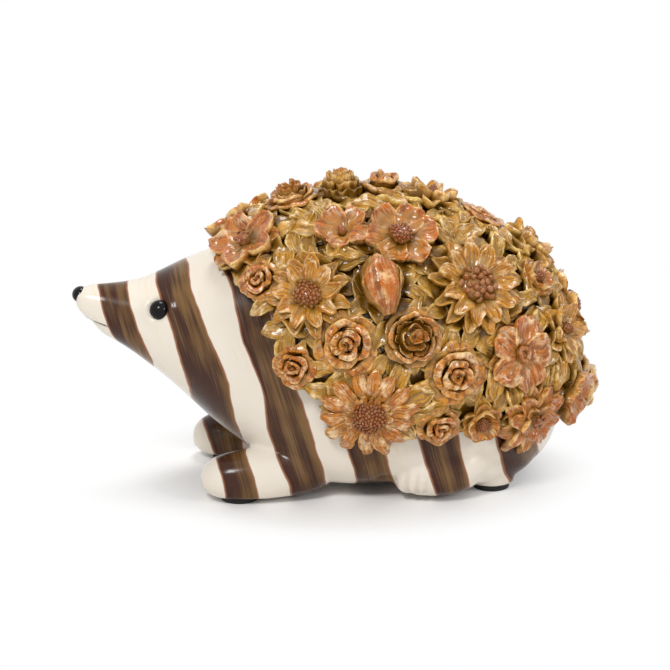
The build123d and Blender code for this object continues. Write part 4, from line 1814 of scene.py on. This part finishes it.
@dataclass
class Studio:
    """Camera, floor, background and lights."""

    azimuth: float = -6.0
    elevation: float = 16.0
    distance: float = 1.25
    aim: Triple = (0.0, 0.0, 0.064)
    lens: float = 152.6
    floor_tone: Colour = (0.95, 0.95, 0.95, 1.0)
    sky_tone: Colour = (1.0, 0.99, 0.97, 1.0)
    sky: float = 0.42
    floor_near: float = 0.045
    floor_far: float = 0.095
    lamps: tuple[Lamp, ...] = (
        Lamp("key", (-0.50, -0.85, 1.00), (0.0, 0.0, 0.06), 0.28, 8.5),
        Lamp("fill", (0.90, -0.80, 0.60), (0.02, 0.0, 0.06), 0.28, 3.6),
        Lamp("top", (0.05, 0.25, 1.10), (0.0, 0.0, 0.06), 0.36, 5.0),
    )

    def build(self) -> None:
        """Make the camera, floor, background and lights."""
        self._camera()
        self._floor()
        self._world()
        for lamp in self.lamps:
            self._lamp(lamp)

    def _camera(self) -> None:
        """Make the camera and give it to the scene."""
        data = bpy.data.cameras.new("camera")
        data.lens = self.lens
        data.sensor_width = 36.0
        data.clip_start = 0.05
        camera = bpy.data.objects.new("camera", data)
        bpy.context.scene.collection.objects.link(camera)
        az, el = math.radians(self.azimuth), math.radians(self.elevation)
        back = Vector((math.sin(az) * math.cos(el), -math.cos(az) * math.cos(el), math.sin(el)))
        camera.location = Vector(self.aim) + back * self.distance
        camera.rotation_euler = back.to_track_quat("Z", "Y").to_euler()
        bpy.context.scene.camera = camera

    def _floor(self) -> None:
        """Make the pale floor, which fades to plain white away from the object."""
        bpy.ops.object.select_all(action="DESELECT")
        bpy.ops.mesh.primitive_plane_add(size=12.0, location=(0, 0, 0))
        floor = bpy.context.object
        floor.name = "floor"
        shader = Shader(bpy.data.materials.new("floor"))
        x, y, _ = shader.place("Object")
        far = (x * x * 0.6 + y * y) ** 0.5
        share = far.step(self.floor_near, self.floor_far) * shader.backdrop()
        pale = shader.node("ShaderNodeBsdfPrincipled", inputs={"Base Color": self.floor_tone, "Roughness": 0.7})
        white = shader.node("ShaderNodeEmission", inputs={"Color": (1.0, 1.0, 1.0, 1.0), "Strength": 1.0})
        blend = shader.node("ShaderNodeMixShader", inputs={0: share, 1: pale, 2: white})
        shader.node("ShaderNodeOutputMaterial", inputs={"Surface": blend})
        floor.data.materials.append(shader.owner)

    def _world(self) -> None:
        """Make the background white to the camera and softer as a light."""
        shader = Shader(bpy.data.worlds.new("studio"))
        dim = shader.node("ShaderNodeBackground", inputs={"Color": self.sky_tone, "Strength": self.sky})
        white = shader.node("ShaderNodeBackground", inputs={"Color": (1.0, 1.0, 1.0, 1.0), "Strength": 1.0})
        blend = shader.node("ShaderNodeMixShader", inputs={0: shader.backdrop(), 1: dim, 2: white})
        shader.node("ShaderNodeOutputWorld", inputs={"Surface": blend})
        bpy.context.scene.world = shader.owner

    @staticmethod
    def _lamp(lamp: Lamp) -> None:
        """Make one light.

        Args:
            lamp: The light's place, aim, size and power.
        """
        data = bpy.data.lights.new(lamp.name, "AREA")
        data.energy = lamp.power
        data.size = lamp.size
        light = bpy.data.objects.new(lamp.name, data)
        bpy.context.scene.collection.objects.link(light)
        light.location = lamp.place
        back = Vector(lamp.place) - Vector(lamp.aim)
        light.rotation_euler = back.to_track_quat("Z", "Y").to_euler()


def main() -> None:
    """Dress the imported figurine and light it."""
    logging.basicConfig(level=logging.INFO, format="%(message)s")
    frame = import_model()
    nodes: dict[str, bpy.types.Object] = frame["nodes"]
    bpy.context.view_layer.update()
    bpy.context.scene.view_settings.view_transform = "Standard"

    # The dark and milky tones are partly antique glaze and partly painted shade in the hollows; pale is a painted
    # highlight.
    wash_and_shade, film_and_shade, pale = tone(112, 75, 8), tone(190, 160, 92), tone(255, 230, 184)
    petal = PetalFinish(
        "petal", wash_and_shade, film_and_shade, tone(114, 56, 0), tone(200, 134, 10), tone(186, 97, 5), tone(252, 212, 132), pale,
        tone(140, 74, 32),
    ).build()
    leaf = PetalFinish(
        "leaf", wash_and_shade, film_and_shade, tone(100, 64, 0), tone(184, 130, 10), tone(204, 136, 12), tone(250, 212, 122), pale,
        tone(140, 74, 32),
    ).build()
    painted = PaintedFinish(
        "painted", tone(226, 217, 203), tone(228, 204, 150), tone(62, 34, 22), tone(122, 92, 54),
        tone(114, 100, 96), tone(140, 86, 54),
    ).build()
    black = GlossFinish("gloss_black", tone(8, 7, 7), tone(18, 16, 15), 0.10, 0.45, 0.05, 0.004 * MM).build()
    rubber = GlossFinish("pad_rubber", tone(22, 21, 21), tone(46, 43, 40), 0.55, 0.0, 0.3, 0.06 * MM).build()
    plug = GlossFinish("plug", tone(40, 39, 38), tone(70, 66, 60), 0.6, 0.0, 0.3, 0.06 * MM).build()

    form = MantleForm()
    LOG.info("made %s", Casting().build(nodes["body_shell"], painted).name)
    blooms = sorted(
        name for name in nodes if any(part in KINDS or part == "tulip" for part in name.split("_"))
    )
    seats = [Seat.read(Bench.points(nodes[node].data), form) for node in blooms]
    bed = LeafBed(form, seats)
    relief = [Ground(form, bed).build(nodes["flower_mantle"], seats, leaf)]
    for node in sorted(name for name in nodes if name.endswith("_leaves")):
        relief.append(bed.set_out(node, nodes[node], leaf))
    shop = FlowerShop(form)
    for node in blooms:
        relief.append(shop.set_out(node, nodes[node], petal))
    Relief(form).mark(relief)
    for piece in relief + SmallPieces(nodes, black, rubber, plug).build():
        LOG.info("made %s with %d faces", piece.name, len(piece.data.polygons))
    Studio().build()


if __name__ == "__main__":
    main()
